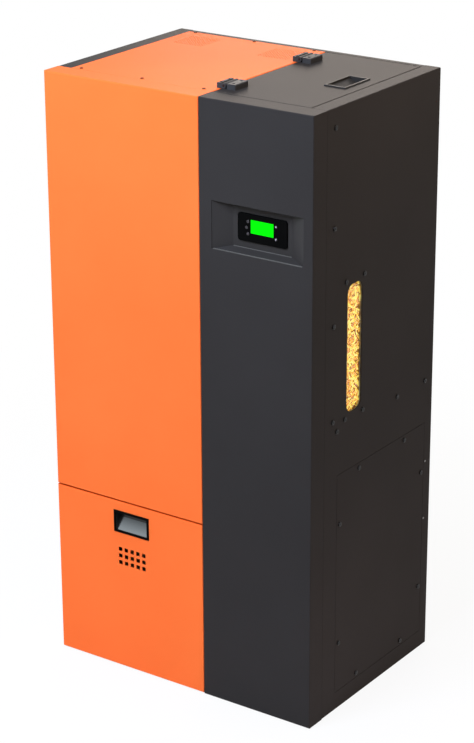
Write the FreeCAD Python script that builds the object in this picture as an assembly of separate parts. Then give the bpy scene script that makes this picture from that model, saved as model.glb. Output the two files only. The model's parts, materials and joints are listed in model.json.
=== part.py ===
import FreeCAD, Part
import math
import os

# Pellet boiler: a sheet-metal casing with the boiler on the left and the fuel hopper on the right.
# Millimetres. +X is the right of someone facing the front, +Y the rear, +Z up.
# The origin is the middle of the casing's footprint, on the floor.

V = FreeCAD.Vector

# Casing
case_width = 650.0
case_depth = 467.0
case_height = 1300.0
sheet = 1.5
bend = 2.2                   # outer bend radius of folded panels
seam = 0.8                   # gap between neighbouring panels
front_depth = 47.0           # depth of the folded front covers
split_from_left = 383.0      # width of the orange boiler section
lower_cover_top = 393.0
cover_seam = 2.5             # gap above the pull-out lower cover
front_lift = 1.5             # floor gap of the front panels
side_lift = 3.0              # floor gap of the side and rear panels
left_flange = 33.0           # top flange of the left panel
right_flange = 35.0          # top flange of the right panel
rear_flange = 14.0           # top flange of the rear panel
edge_flange = 12.0           # inward flange at the front of a side panel
back_flange = 20.0           # inward flange at the rear of a side panel
flange_foot = 30.0           # height where those flanges start
ledge = 12.0                 # lip under the edge of the top cover
rail_depth = 24.0            # front top rail, front to back
rail_drop = 24.0             # its tab on the divider
seat_gap = 0.5               # front covers stand this far off their seats

# Base pan and divider
pan_sheet = 2.0
pan_wall = 24.0
divider_from_split = 4.0

# Lid and its seal
lid_fold = 16.0
lid_swing_gap = 2.0          # room for the lid's free edge as it swings
seal_gap = 0.3
seal_width = 6.0

# Hinges
hinge_from_split = 6.0
hinge_spread = 267.0         # between the two hinges
hinge_width = 46.0
hinge_height = 11.0
barrel_radius = 5.5
barrel_gap = 0.5             # between barrel and lid
leaf_start = 8.0             # from the hinge line to a leaf's block
fixed_leaf_reach = 17.0
moving_leaf_reach = 28.0
pin_radius = 2.5
pin_clearance = 0.05
knuckle_gap = 0.4
well_radius = 3.2            # screw wells in the leaves
well_depth = 4.5
well_spread = 26.0

# Flush pulls
pull_length = 92.0
pull_width = 50.0
pull_rim = 4.5
pull_proud = 2.5
pull_depth = 13.5
pull_shallow = 2.0
pull_level_from = 0.3        # where the scoop's floor turns level, in half widths
pull_wall = 2.0
pull_fit = 0.4
lid_pull_from_right = 87.5
lid_pull_from_front = 253.5
cover_pull_from_left = 198.0
cover_pull_height = 346.5

# Air holes of the lower cover
air_hole = 9.5
air_pitch = 15.5
air_columns = 5
air_rows = 3
air_above_burner = 0.5

# Perforated patches of the top cover
vent_hole = 3.2
vent_pitch = 6.8
vent_count = 11
vent_from_left = (102.5, 317.5)
vent_from_front = 384.5

# Controller
recess_from_right = 129.5
recess_from_top = 252.0
recess_width = 215.0
recess_tall = 98.0
recess_floor_width = 139.0
recess_floor_tall = 82.0
recess_depth = 20.0
tray_wall = 2.0
tray_lip = 12.0
recess_round = 0.8           # edge of the panel's opening
bezel_width = 116.0
bezel_tall = 56.5
bezel_proud = 3.5
bezel_corner = 6.0
bezel_round = 1.0            # front edge of the bezel
bezel_offset = (1.0, 2.0)
controller_back_width = 108.0
controller_back_tall = 49.0
controller_back_depth = 35.0
controller_fit = 0.3
display_width = 53.0
display_tall = 27.0
display_thick = 2.0
display_offset = (0.0, 3.5)
display_fit = 0.2
key_radius = 3.2
key_fit = 0.15
key_length = 3.0
key_proud = 0.6
key_travel = 0.7
key_stop_gap = 0.1
key_offsets = {
    "key_upper_left": (-33.2, 12.7),
    "key_middle_left": (-36.4, 0.4),
    "key_lower_left": (-33.2, -12.3),
    "key_upper_right": (32.6, 12.7),
    "key_lower_right": (32.6, -12.3),
}

# Sight window
slot_from_front = 154.25
slot_height = 795.0
slot_width = 54.5
slot_tall = 270.0
slot_corner = 19.0
pane_margin = 14.0
pane_thick = 3.0
pane_gap = 0.3
window_screw_spread = (67.0, 290.0)

# Service hatch
hatch_from_front = 267.5
hatch_height = 289.0
hatch_width = 343.0
hatch_tall = 493.0
hatch_lip = 18.0             # of the frame strip behind the hatch, inside its edge
hatch_lip_outer = 10.0       # of the same strip, outside that edge

# Screws
screw_head_radius = 5.0
screw_head_height = 2.6
top_head_radius = 3.6        # the flatter screws of the top cover
top_head_height = 1.4
screw_radius = 2.0
screw_hole_fit = 0.3
screw_nut_radius = 4.5
screw_nut_height = 2.5
top_screw_from_left = (53.0, 206.0, 357.0)
top_screw_from_front = (56.0, 448.5)
column_from_front = 76.0
column_from_top = (39.0, 239.0, 440.0, 642.0)
row_height = 633.0
row_from_front = (92.0, 323.0, 435.0)
hatch_screw_inset = 11.0
hatch_screw_sides = (155.0, 425.0)
hatch_screw_ends = (178.0, 356.0)
rear_screw_first = 100.0
rear_screw_last_from_top = 50.0
rear_screw_count = 5
rear_screw_inset = 9.0

# Hopper
hopper_wall = 1.5
hopper_from_front = 83.5
hopper_from_rear = 7.5
hopper_from_top = 38.0
hopper_slope_top = 817.0     # the rear wall leans in below this height
hopper_slope_run = 191.0     # and ends this far forward of the bin's rear
hopper_box_foot = 640.0
neck_from_split = 20.0
neck_from_right = 45.0
neck_from_front = 88.5
neck_from_rear = 28.5
neck_from_top = 14.0
charge_from_top = 300.0
charge_gap = 0.5
slot_clear = 3.0             # hopper opening beyond the panel's slot

# Auger
auger_from_front = 133.5
auger_height = 500.0
auger_tube_radius = 30.0
auger_tube_wall = 3.0
auger_end_from_chute = 37.0
auger_from_right = 75.0
auger_cap = 4.0
auger_flange = 42.0
inlet_from_split = 36.0
inlet_from_right = 95.0
inlet_width = 54.0
inlet_rise = 41.0            # hopper outlet above the auger
inlet_wall = 4.0
inlet_flange = 8.0
inlet_flange_thick = 3.0
flight_radius = 24.5
flight_thick = 3.0
flight_pitch = 42.0
auger_shaft = 9.0
shaft_fit = 0.06
shaft_in_motor = 20.0
bush_radius = 14.0
bush_length = 12.0
gearbox_length = 50.0
gearbox_width = 90.0
gearbox_tall = 90.0
motor_radius = 34.0
motor_length = 105.0

# Burner and fan, in line with the cover's air holes
burner_height = 266.0
burner_width = 116.0
burner_tall = 124.0
burner_depth = 78.0
burner_wall = 3.0
burner_flange = 20.0
burner_flange_thick = 6.0
chute_radius = 25.0
chute_wall = 3.0
spout_drop = 48.0
flame_radius = 52.0
flame_wall = 3.0
flame_length = 124.0
flame_gap = 3.0
fan_depth = 40.0
fan_wall = 2.0
fan_inlet = 32.0
fan_inner_radius = 47.0
fan_growth = 14.0
impeller_radius = 41.0
impeller_eye = 29.0
impeller_gap = 5.0
impeller_disc = 2.0
impeller_blades = 14
blade_thick = 1.6
blade_lean = 4.0             # forward reach of a blade's tip
hub_radius = 9.0
hub_length = 10.0
motor_can_radius = 27.0
motor_can_length = 16.0
spindle_radius = 3.0
spindle_fit = 0.05
spindle_in_hub = 8.0
air_port_radius = 9.0        # from the fan into the burner
air_port_inset = 12.6
igniter_radius = 5.0
igniter_drop = 36.0
igniter_length = 136.0

# Boiler
boiler_from_left = 25.0
boiler_from_split = 18.0
boiler_from_front = 169.5
boiler_from_rear = 38.5
boiler_below_burner = 106.0
boiler_from_top = 110.0
shell = 4.0
chamber_wall = 5.0
jacket = 34.0                # chamber wall from the outer plate
chamber_top = 520.0
smoke_box_tall = 120.0
smoke_plate = 4.0
tube_radius = 27.0
tube_wall = 3.0
tube_pitch_x = 80.0
tube_pitch_y = 64.0
tube_grid = 3
burner_sleeve = 5.0
strip_width = 34.0
strip_thick = 1.5
strip_length = 500.0
strip_folds = 12
hanger_length = 64.0
hanger_tall = 6.0
smoke_cover_overhang = 4.0
smoke_cover_thick = 6.0
cover_grip = 120.0
cover_grip_tall = 26.0
slab_thick = 22.0
slab_panel_gap = 1.2
slab_gap = 0.3
top_slab_from_top = 56.0

# Ash box on its rails
box_wall = 2.0
box_inset = 15.0             # inside the boiler's sides
box_from_rear = 45.0
box_bottom = 46.0
box_below_boiler = 10.0
plate_overlap = 6.0          # beyond the boiler's sides
plate_bottom = 28.0
plate_rise = 8.0             # above the boiler's foot
plate_thick = 3.0
rope = 8.6
rope_width = 10.0
arm_above_box = 14.0
arm_below_rim = 20.0
arm_thick = 3.0
arm_inset = 6.0
arm_foot = 22.0
rail_spread = 160.0
rail_width = 40.0
rail_tall = 16.0
rail_wall = 2.5
rail_slot = 18.0
rail_from_panel = 4.0
rail_from_rear = 9.0
slide_gap = 0.3
slide_side_gap = 1.0
slide_web = 12.0
notch_gap = 4.0

# Rear connections
flue_below_top = 60.0
flue_radius = 50.0
flue_wall = 1.5
flue_step = 1.0              # the spigot is thicker inside the casing
flue_length = 60.0           # outside the rear panel
flue_flange = 58.0
flue_flange_thick = 4.0
socket_radius = 21.0
socket_bore = 15.15          # minor radius of a one-inch pipe thread
socket_out = 18.0
port_radius = 13.0           # hole in the boiler plate behind a socket
socket_inset = 42.0
flow_below_smoke = 50.0
return_above_foot = 55.0
panel_hole_gap = 0.6
gland_from_right = 75.0
gland_height = 150.0
gland_radius = 10.0
gland_bore = 4.5
gland_hex = 13.0
gland_hex_length = 7.0
gland_dome = 12.0
gland_tip = 7.0              # radius at the end of the dome
gland_nut = 5.0

# Places that follow from the sizes above
left = -case_width / 2
right = case_width / 2
front = -case_depth / 2
rear = case_depth / 2
split = left + split_from_left
cover_back = front + front_depth
panel_front = cover_back + seat_gap
top_inner = case_height - sheet
side_inner = right - sheet
rear_inner = rear - sheet
divider = split + divider_from_split
hopper_left = divider + sheet
hopper_right = side_inner - pane_thick - pane_gap
hinge_x = split + hinge_from_split
hinge_z = case_height + barrel_radius + barrel_gap
lid_left = split + seam
lid_right = right - right_flange - lid_swing_gap
lid_front = cover_back + seam
lid_rear = rear - rear_flange - seam
burner_x = left + cover_pull_from_left
boiler_left = left + boiler_from_left
boiler_right = split - boiler_from_split
boiler_front = front + boiler_from_front
boiler_rear = rear - boiler_from_rear
boiler_foot = burner_height - boiler_below_burner
boiler_top = case_height - boiler_from_top
boiler_x = (boiler_left + boiler_right) / 2
boiler_y = (boiler_front + boiler_rear) / 2
smoke_box_floor = boiler_top - smoke_box_tall
top_slab_top = case_height - top_slab_from_top
burner_front = boiler_front - burner_depth
auger_y = front + auger_from_front
auger_left = burner_x - auger_end_from_chute
auger_right = right - auger_from_right
inlet_left = split + inlet_from_split
inlet_right = right - inlet_from_right
hopper_foot = auger_height + inlet_rise
hopper_front = front + hopper_from_front
hopper_rear = rear - hopper_from_rear
hopper_slope_rear = hopper_rear - hopper_slope_run
hopper_top = case_height - hopper_from_top
neck_left = split + neck_from_split
neck_right = right - neck_from_right
neck_front = front + neck_from_front
neck_rear = rear - neck_from_rear
neck_top = case_height - neck_from_top
charge_top = case_height - charge_from_top
box_left = boiler_left + box_inset
box_right = boiler_right - box_inset
box_rear = boiler_rear - box_from_rear
box_top = boiler_foot - box_below_boiler
plate_left = boiler_left - plate_overlap
plate_right = boiler_right + plate_overlap
plate_top = boiler_foot + plate_rise
arm_bottom = box_bottom + arm_above_box
arm_top = box_top - arm_below_rim
rail_x = (boiler_x - rail_spread / 2, boiler_x + rail_spread / 2)
rail_front = panel_front + rail_from_panel
rail_rear = boiler_rear - rail_from_rear
flue_x = boiler_x
flue_height = boiler_top - flue_below_top
socket_x = boiler_left + socket_inset
flow_height = smoke_box_floor - flow_below_smoke
return_height = boiler_foot + return_above_foot
gland_x = right - gland_from_right
plate_back = boiler_front - rope - slide_gap
rail_top = pan_sheet + rail_tall
fold_clear = split - seam - 2 * bend


def block(low, high):
    size = [b - a for a, b in zip(low, high)]
    return Part.makeBox(size[0], size[1], size[2], V(*low))


def rod(radius, start, end):
    along = V(*end) - V(*start)
    return Part.makeCylinder(radius, along.Length, V(*start), along)


def pipe(radius, wall, start, end):
    return rod(radius, start, end).cut(rod(radius - wall, start, end))


def joined(shapes):
    whole = shapes[0]
    for extra in shapes[1:]:
        whole = whole.fuse(extra)
    return whole.removeSplitter()


def polygon(points):
    return Part.makePolygon([V(*p) for p in points] + [V(*points[0])])


def prism(points, along):
    return Part.Face(polygon(points)).extrude(V(*along))


def frustum(low_rect, low_z, high_rect, high_z):
    # A ruled solid between two level rectangles, each (x0, x1, y0, y1).
    wires = []
    for (x0, x1, y0, y1), z in ((low_rect, low_z), (high_rect, high_z)):
        wires.append(polygon([(x0, y0, z), (x1, y0, z), (x1, y1, z), (x0, y1, z)]))
    return Part.makeLoft(wires, True, True)


def rounded_plate(width, tall, radius, depth):
    # A plate in X and Z about the origin, with round corners, thickness along +Y from y = 0.
    plate = block((-width / 2, 0, -tall / 2), (width / 2, depth, tall / 2))
    corners = [e for e in plate.Edges if abs(e.Vertexes[0].Y - e.Vertexes[1].Y) > depth / 2]
    return plate.makeFillet(radius, corners)


def axis_and_end(side):
    # "+x" is axis 0 at its high end, "-z" axis 2 at its low end.
    return "xyz".index(side[1]), "-+".index(side[0])


def bent_edges(solid, low, high, main, returns):
    # The box edges where the main face meets a return.
    def on(point, side):
        axis, end = axis_and_end(side)
        return abs(point[axis] - (low, high)[end][axis]) < 1e-6
    chosen = []
    for edge in solid.Edges:
        middle = edge.CenterOfMass
        if on(middle, main) and any(on(middle, side) for side in returns):
            chosen.append(edge)
    return chosen


def folded(low, high, main, returns, thick=sheet):
    # A folded sheet: one main face and the returns bent back from its edges.
    inner_low, inner_high = list(low), list(high)
    for side in ("-x", "+x", "-y", "+y", "-z", "+z"):
        axis, end = axis_and_end(side)
        ends = (inner_low, inner_high)[end]
        inward = 1 if end == 0 else -1
        is_wall = side == main or side in returns
        ends[axis] += inward * thick if is_wall else -inward * bend
    outer = block(low, high)
    outer = outer.makeFillet(bend, bent_edges(outer, low, high, main, returns))
    inner = block(inner_low, inner_high)
    inner = inner.makeFillet(bend - thick, bent_edges(inner, inner_low, inner_high, main, returns))
    return outer.cut(inner)


def placed(shape, u, v, w, origin):
    # Carries a shape from its own axes to the given ones.
    matrix = FreeCAD.Matrix(u[0], v[0], w[0], origin[0], u[1], v[1], w[1], origin[1],
                            u[2], v[2], w[2], origin[2], 0, 0, 0, 1)
    moved = shape.copy()
    moved.Placement = FreeCAD.Placement(matrix)
    return moved


def drilled(shape, holes):
    for hole in holes:
        shape = shape.cut(hole)
    return shape


# Screws: pan heads with a thread and a clinched nut behind the sheet

def screw(grip, with_nut, radius, height):
    # Along -Z from the sheet's outer face at z = 0.
    head = rod(radius, (0, 0, 0), (0, 0, height))
    rim = [e for e in head.Edges if e.CenterOfMass.z > height / 2 and len(e.Vertexes) == 1]
    head = head.makeFillet(height / 2, rim)
    length = grip + (screw_nut_height if with_nut else 0)
    pieces = [head, rod(screw_radius, (0, 0, 0), (0, 0, -length))]
    if with_nut:
        pieces.append(rod(screw_nut_radius, (0, 0, -grip), (0, 0, -length)))
    return joined(pieces)


def screw_group(spots, outward, grip, with_nut=True, radius=screw_head_radius, height=screw_head_height):
    turn = FreeCAD.Rotation(V(0, 0, 1), V(*outward))
    made = []
    for spot in spots:
        one = screw(grip, with_nut, radius, height)
        one.Placement = FreeCAD.Placement(V(*spot), turn)
        made.append(one)
    return Part.makeCompound(made)


def screw_holes(spots, outward):
    radius = screw_radius + screw_hole_fit
    reach = V(*outward) * (screw_nut_height * 4)
    return [rod(radius, V(*spot) - reach, V(*spot) + reach) for spot in spots]


top_spots = [(left + x, front + y, case_height) for y in top_screw_from_front for x in top_screw_from_left]
right_spots = [(right, front + column_from_front, case_height - z) for z in column_from_top]
right_spots += [(right, front + y, row_height) for y in row_from_front]
left_spots = [(left, front + column_from_front, case_height - z) for z in column_from_top]
slot_y = front + slot_from_front
window_half_y, window_half_z = (spread / 2 for spread in window_screw_spread)
window_spots = [(right, slot_y + a * window_half_y, slot_height + b * window_half_z)
                for a in (-1, 1) for b in (-1, 1)]
hatch_y = front + hatch_from_front
hatch_low = hatch_height - hatch_tall / 2
hatch_high = hatch_height + hatch_tall / 2
hatch_near = hatch_y - hatch_width / 2
hatch_far = hatch_y + hatch_width / 2
hatch_spots = [(right, y, z) for z in hatch_screw_sides
               for y in (hatch_near + hatch_screw_inset, hatch_far - hatch_screw_inset)]
hatch_spots += [(right, front + y, z) for y in hatch_screw_ends
                for z in (hatch_low + hatch_screw_inset, hatch_high - hatch_screw_inset)]
rear_screw_step = (case_height - rear_screw_last_from_top - rear_screw_first) / (rear_screw_count - 1)
rear_spots = [(side * (side_inner - rear_screw_inset), rear, rear_screw_first + i * rear_screw_step)
              for side in (-1, 1) for i in range(rear_screw_count)]


# Base pan and panels

def base_pan():
    low = (-side_inner, panel_front, 0)
    high = (side_inner, rear_inner, pan_wall)
    pan = folded(low, high, "-z", ("-x", "+x", "-y", "+y"), pan_sheet)
    half = rail_width / 2 + notch_gap
    for x in rail_x:
        notch = block((x - half, panel_front - pan_sheet, pan_sheet), (x + half, rail_front, pan_wall * 2))
        pan = pan.cut(notch)
    return pan


def side_flanges(mirror):
    # The inward flanges at the front and the rear of a side panel, on the right and mirrored on the left.
    pieces = []
    for y0, width in ((panel_front, edge_flange), (rear_inner - sheet, back_flange)):
        x0, x1 = side_inner - width, right - sheet / 2
        low_x, high_x = (x0, x1) if mirror > 0 else (-x1, -x0)
        pieces.append(block((low_x, y0, flange_foot), (high_x, y0 + sheet, top_inner)))
    return pieces


def left_side_panel():
    skin = folded((left, panel_front, side_lift), (left + left_flange, rear, case_height), "-x", ("+z",))
    lip = block((left + sheet, panel_front, top_inner - sheet),
                (left + left_flange + ledge, lid_rear, top_inner))
    panel = joined([skin, lip] + side_flanges(-1))
    holes = screw_holes(left_spots, (1, 0, 0))
    holes += screw_holes(rear_spots, (0, 1, 0))
    holes += screw_holes(top_spots, (0, 0, 1))
    return drilled(panel, holes)


def slot_cutter(grow):
    cutter = rounded_plate(slot_width + 2 * grow, slot_tall + 2 * grow, slot_corner + grow, front_depth)
    return placed(cutter, (0, 1, 0), (-1, 0, 0), (0, 0, 1), (right + sheet, slot_y, slot_height))


def right_side_panel():
    skin = folded((right - right_flange, panel_front, side_lift), (right, rear, case_height), "+x", ("+z",))
    skin = skin.cut(slot_cutter(0))
    opening = block((side_inner - sheet, hatch_near - seam, hatch_low - seam),
                    (right + sheet, hatch_far + seam, hatch_high + seam))
    outer, inner = hatch_lip_outer, hatch_lip
    strip = block((side_inner - sheet, hatch_near - outer, hatch_low - outer),
                  (side_inner, hatch_far + outer, hatch_high + outer))
    strip = strip.cut(block((side_inner - 2 * sheet, hatch_near + inner, hatch_low + inner),
                            (side_inner + sheet, hatch_far - inner, hatch_high - inner)))
    panel = joined([skin.cut(opening), strip] + side_flanges(1))
    holes = screw_holes(right_spots + window_spots + hatch_spots, (1, 0, 0))
    holes += screw_holes(rear_spots, (0, 1, 0))
    return drilled(panel, holes)


def service_hatch():
    plate = block((side_inner, hatch_near, hatch_low), (right, hatch_far, hatch_high))
    return drilled(plate, screw_holes(hatch_spots, (1, 0, 0)))


def rear_holes():
    gap = panel_hole_gap
    y0, y1 = boiler_rear, rear + flue_length
    spots = ((flue_x, flue_height, flue_radius + flue_step), (socket_x, flow_height, socket_radius),
             (socket_x, return_height, socket_radius), (gland_x, gland_height, gland_radius))
    return [rod(r + gap, (x, y0, z), (x, y1, z)) for x, z, r in spots]


def rear_panel():
    skin = block((-side_inner, rear_inner, side_lift), (side_inner, rear, top_inner - bend))
    fold_left, fold_right = left + left_flange + seam, right - right_flange - seam
    fold_low = (fold_left, rear - rear_flange, boiler_top)
    fold = folded(fold_low, (fold_right, rear, case_height), "+y", ("+z",))
    skin = skin.cut(block(fold_low, (fold_right, rear + bend, case_height)))
    lip = block((left + left_flange + ledge + seam, lid_rear - ledge, top_inner - sheet),
                (fold_clear, rear - sheet, top_inner))
    panel = joined([skin, fold, lip])
    screws = screw_holes(rear_spots, (0, 1, 0)) + screw_holes(top_spots, (0, 0, 1))
    return drilled(panel, rear_holes() + screws)


def divider_panel():
    panel = block((divider, panel_front + 2 * pan_sheet, pan_sheet),
                  (hopper_left, rear_inner - 2 * sheet, hopper_top))
    return panel.cut(rod(auger_tube_radius + panel_hole_gap, (split, auger_y, auger_height),
                         (hopper_left + sheet, auger_y, auger_height)))


def front_top_rail():
    # An angle behind the top of the upper cover, with an end tab on the divider below the lid.
    start = -side_inner + edge_flange + seam
    foot = hopper_top - rail_drop
    depth = panel_front + rail_depth
    angle = folded((start, panel_front, foot), (fold_clear, depth, top_inner), "-y", ("+z",))
    corner = left + left_flange + ledge + seam
    angle = angle.cut(block((left, panel_front - sheet, top_inner - bend * 2),
                            (corner, depth + bend, case_height)))
    web = block((fold_clear, panel_front, foot), (divider, panel_front + sheet, hopper_top))
    tab = block((divider - sheet, panel_front, foot), (divider, depth, hopper_top))
    return drilled(joined([angle, web, tab]), screw_holes(top_spots, (0, 0, 1)))


# Orange covers

def vent_grid():
    half = vent_hole / 2
    start = -(vent_count - 1) / 2 * vent_pitch
    cutters = []
    for patch in vent_from_left:
        for i in range(vent_count):
            for j in range(vent_count):
                x = left + patch + start + i * vent_pitch
                y = front + vent_from_front + start + j * vent_pitch
                cutters.append(block((x - half, y - half, top_inner - sheet),
                                     (x + half, y + half, case_height + sheet)))
    return Part.makeCompound(cutters)


def top_cover():
    low = (left + left_flange + seam, lid_front, case_height - lid_fold)
    high = (split - seam, lid_rear, case_height)
    cover = folded(low, high, "+z", ("+x",))
    return drilled(cover.cut(vent_grid()), screw_holes(top_spots, (0, 0, 1)))


def front_tray(x0, x1, z0, z1):
    return folded((x0, front, z0), (x1, cover_back, z1), "-y", ("-x", "+x", "-z", "+z"))


def upper_front_cover():
    return front_tray(left, split - seam / 2, lower_cover_top + cover_seam, case_height)


def air_grid():
    half = air_hole / 2
    cutters = []
    for i in range(air_columns):
        for j in range(air_rows):
            x = burner_x + (i - (air_columns - 1) / 2) * air_pitch
            z = burner_height + air_above_burner + (j - (air_rows - 1) / 2) * air_pitch
            cutters.append(block((x - half, front - sheet, z - half),
                                 (x + half, front + 2 * sheet, z + half)))
    return Part.makeCompound(cutters)


def lower_front_cover():
    cover = front_tray(left, split - seam / 2, side_lift, lower_cover_top)
    return cover.cut(air_grid()).cut(cover_pull(pull_fit))


def hopper_front_panel():
    panel = front_tray(split + seam / 2, right, front_lift, case_height)
    x, z = recess_x, recess_height
    half_w, half_t = recess_width / 2, recess_tall / 2
    panel = panel.cut(block((x - half_w, front - sheet, z - half_t),
                            (x + half_w, front + 2 * sheet, z + half_t)))
    mouth = FreeCAD.BoundBox(x - half_w, front, z - half_t, x + half_w, front, z + half_t)
    mouth.enlarge(bend)
    rim = [e for e in panel.Edges if abs(e.BoundBox.YMax - front) < 1e-6 and mouth.isInside(e.BoundBox)]
    return panel.makeFillet(recess_round, rim)


# Flush pulls: a rim on the sheet and a scoop whose floor slopes down under one long edge

def flush_pull(grow=0):
    # Own axes: X along the pull, Y towards the deep edge, Z out of the sheet, whose face is z = 0.
    half_l, half_w = pull_length / 2, pull_width / 2
    cup_l, cup_w = half_l - pull_rim, half_w - pull_rim
    wall, deep, shallow = pull_wall + grow, pull_depth, pull_shallow
    level = cup_w * pull_level_from
    end = -cup_l - wall
    outline = [(end, -cup_w - wall, 0), (end, cup_w + wall, 0), (end, cup_w + wall, -deep - pull_wall),
               (end, level, -deep - pull_wall), (end, -cup_w - wall, -shallow - pull_wall)]
    cup = prism(outline, (2 * (cup_l + wall), 0, 0))
    if grow:
        return cup
    rim = block((-half_l, -half_w, 0), (half_l, half_w, pull_proud))
    top_edges = [e for e in rim.Edges if e.CenterOfMass.z > pull_proud * 0.9]
    rim = rim.makeChamfer(pull_proud * 0.4, top_edges)
    scoop = [(-cup_l, -cup_w, pull_proud * 2), (-cup_l, cup_w, pull_proud * 2), (-cup_l, cup_w, -deep),
             (-cup_l, level, -deep), (-cup_l, -cup_w, -shallow)]
    return joined([rim, cup]).cut(prism(scoop, (2 * cup_l, 0, 0)))


def lid_pull(grow=0):
    spot = (right - lid_pull_from_right, front + lid_pull_from_front, case_height)
    return placed(flush_pull(grow), (0, -1, 0), (1, 0, 0), (0, 0, 1), spot)


def cover_pull(grow=0):
    return placed(flush_pull(grow), (1, 0, 0), (0, 0, 1), (0, -1, 0), (burner_x, front, cover_pull_height))


# Lid, its seal and hinges

def hopper_lid():
    lid = folded((lid_left, lid_front, case_height - lid_fold), (lid_right, lid_rear, case_height), "+z",
                 ("-x", "+x", "-y", "+y"))
    return lid.cut(lid_pull(pull_fit))


def lid_seal():
    z0 = neck_top + seal_gap
    spread = (seal_width - hopper_wall) / 2
    outer = block((neck_left - spread, neck_front - spread, z0),
                  (neck_right + spread, neck_rear + spread, top_inner))
    inset = seal_width - spread
    return outer.cut(block((neck_left + inset, neck_front + inset, z0 - sheet),
                           (neck_right - inset, neck_rear - inset, case_height)))


hinge_ys = (-hinge_spread / 2, hinge_spread / 2)


def knuckles(y, spans):
    made = []
    for y0, y1 in spans:
        made.append(rod(barrel_radius, (hinge_x, y + y0, hinge_z), (hinge_x, y + y1, hinge_z)))
    return made


def leaf_block(y, side, reach):
    x0, x1 = sorted((hinge_x + side * leaf_start, hinge_x + side * reach))
    half = hinge_width / 2
    leaf = block((x0, y - half, case_height), (x1, y + half, case_height + hinge_height))
    outer_x = x1 if side > 0 else x0
    foot = case_height + hinge_height / 4
    edges = [e for e in leaf.Edges if abs(e.CenterOfMass.x - outer_x) < 1e-6 and e.CenterOfMass.z > foot]
    return leaf.makeFillet(hinge_height / 4, edges)


def knuckle_web(y, side, span):
    # Joins a knuckle to its leaf, level with the top of the barrel's underside gap.
    x0, x1 = sorted((hinge_x, hinge_x + side * (leaf_start + bend)))
    z0 = case_height + barrel_gap
    return block((x0, y + span[0], z0), (x1, y + span[1], hinge_z + barrel_radius * 0.6))


def hinge_leaf(y, side, reach, spans):
    pieces = [leaf_block(y, side, reach)] + knuckles(y, spans)
    pieces += [knuckle_web(y, side, span) for span in spans]
    cuts = [rod(pin_radius + pin_clearance, (hinge_x, y - hinge_width, hinge_z),
                (hinge_x, y + hinge_width, hinge_z))]
    x = hinge_x + side * (leaf_start + reach) / 2
    top = case_height + hinge_height
    for well_y in (y - well_spread / 2, y + well_spread / 2):
        cuts.append(rod(well_radius, (x, well_y, top - well_depth), (x, well_y, top + bend)))
    return drilled(joined(pieces), cuts)


end_span = hinge_width / 4
fixed_spans = ((-hinge_width / 2, -end_span), (end_span, hinge_width / 2))
moving_spans = ((-end_span + knuckle_gap, end_span - knuckle_gap),)


def hinge_fixed_leaves():
    return Part.makeCompound([hinge_leaf(y, -1, fixed_leaf_reach, fixed_spans) for y in hinge_ys])


def hinge_moving_leaves():
    return Part.makeCompound([hinge_leaf(y, 1, moving_leaf_reach, moving_spans) for y in hinge_ys])


def hinge_pins():
    half = hinge_width / 2
    return Part.makeCompound([rod(pin_radius, (hinge_x, y - half, hinge_z), (hinge_x, y + half, hinge_z))
                              for y in hinge_ys])


# Controller in its recess

recess_x = right - recess_from_right
recess_height = case_height - recess_from_top
recess_y = front + recess_depth
face_x = recess_x + bezel_offset[0]
face_z = recess_height + bezel_offset[1]
face_y = recess_y - bezel_proud


def tray_form(grow, depth):
    # A funnel along +Y from behind the panel's sheet, grown on every side.
    y0 = front + sheet
    wires = []
    for y, width, tall in ((y0, recess_width, recess_tall), (depth, recess_floor_width, recess_floor_tall)):
        a, b = width / 2 + grow, tall / 2 + grow
        wires.append(polygon([(recess_x - a, y, recess_height - b), (recess_x + a, y, recess_height - b),
                              (recess_x + a, y, recess_height + b), (recess_x - a, y, recess_height + b)]))
    return Part.makeLoft(wires, True, True)


def controller_tray():
    y0 = front + sheet
    a, b = recess_width / 2 + tray_lip, recess_tall / 2 + tray_lip
    lip = block((recess_x - a, y0, recess_height - b), (recess_x + a, y0 + tray_wall, recess_height + b))
    tray = joined([lip, tray_form(tray_wall, recess_y + tray_wall)]).cut(tray_form(0, recess_y))
    a, b = controller_back_width / 2 + controller_fit, controller_back_tall / 2 + controller_fit
    return tray.cut(block((face_x - a, face_y, face_z - b),
                          (face_x + a, recess_y + 2 * tray_wall, face_z + b)))


def key_spot(name, y):
    dx, dz = key_offsets[name]
    return (face_x + dx, y, face_z + dz)


def key_bore(name):
    floor = face_y - key_proud + key_length + key_travel + key_stop_gap
    return rod(key_radius + key_fit, key_spot(name, face_y - bend), key_spot(name, floor))


def control_key(name):
    top = face_y - key_proud
    cap = rod(key_radius, key_spot(name, top), key_spot(name, top + key_length))
    rim = [e for e in cap.Edges if e.CenterOfMass.y < face_y and len(e.Vertexes) == 1]
    return cap.makeFillet(key_proud * 0.6, rim[:1])


def display_form(grow, y0, y1):
    x, z = face_x + display_offset[0], face_z + display_offset[1]
    a, b = display_width / 2 + grow, display_tall / 2 + grow
    return block((x - a, y0, z - b), (x + a, y1, z + b))


def controller_housing():
    bezel = rounded_plate(bezel_width, bezel_tall, bezel_corner, bezel_proud)
    bezel = bezel.makeFillet(bezel_round, [e for e in bezel.Edges if abs(e.BoundBox.YMax) < 1e-6])
    bezel = placed(bezel, (1, 0, 0), (0, 1, 0), (0, 0, 1), (face_x, face_y, face_z))
    a, b = controller_back_width / 2, controller_back_tall / 2
    back = block((face_x - a, recess_y, face_z - b),
                 (face_x + a, recess_y + controller_back_depth, face_z + b))
    housing = joined([bezel, back]).cut(display_form(display_fit, face_y - bend, face_y + display_thick))
    return drilled(housing, [key_bore(name) for name in key_offsets])


def display_window():
    return display_form(0, face_y, face_y + display_thick)


# Hopper and fuel

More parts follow.
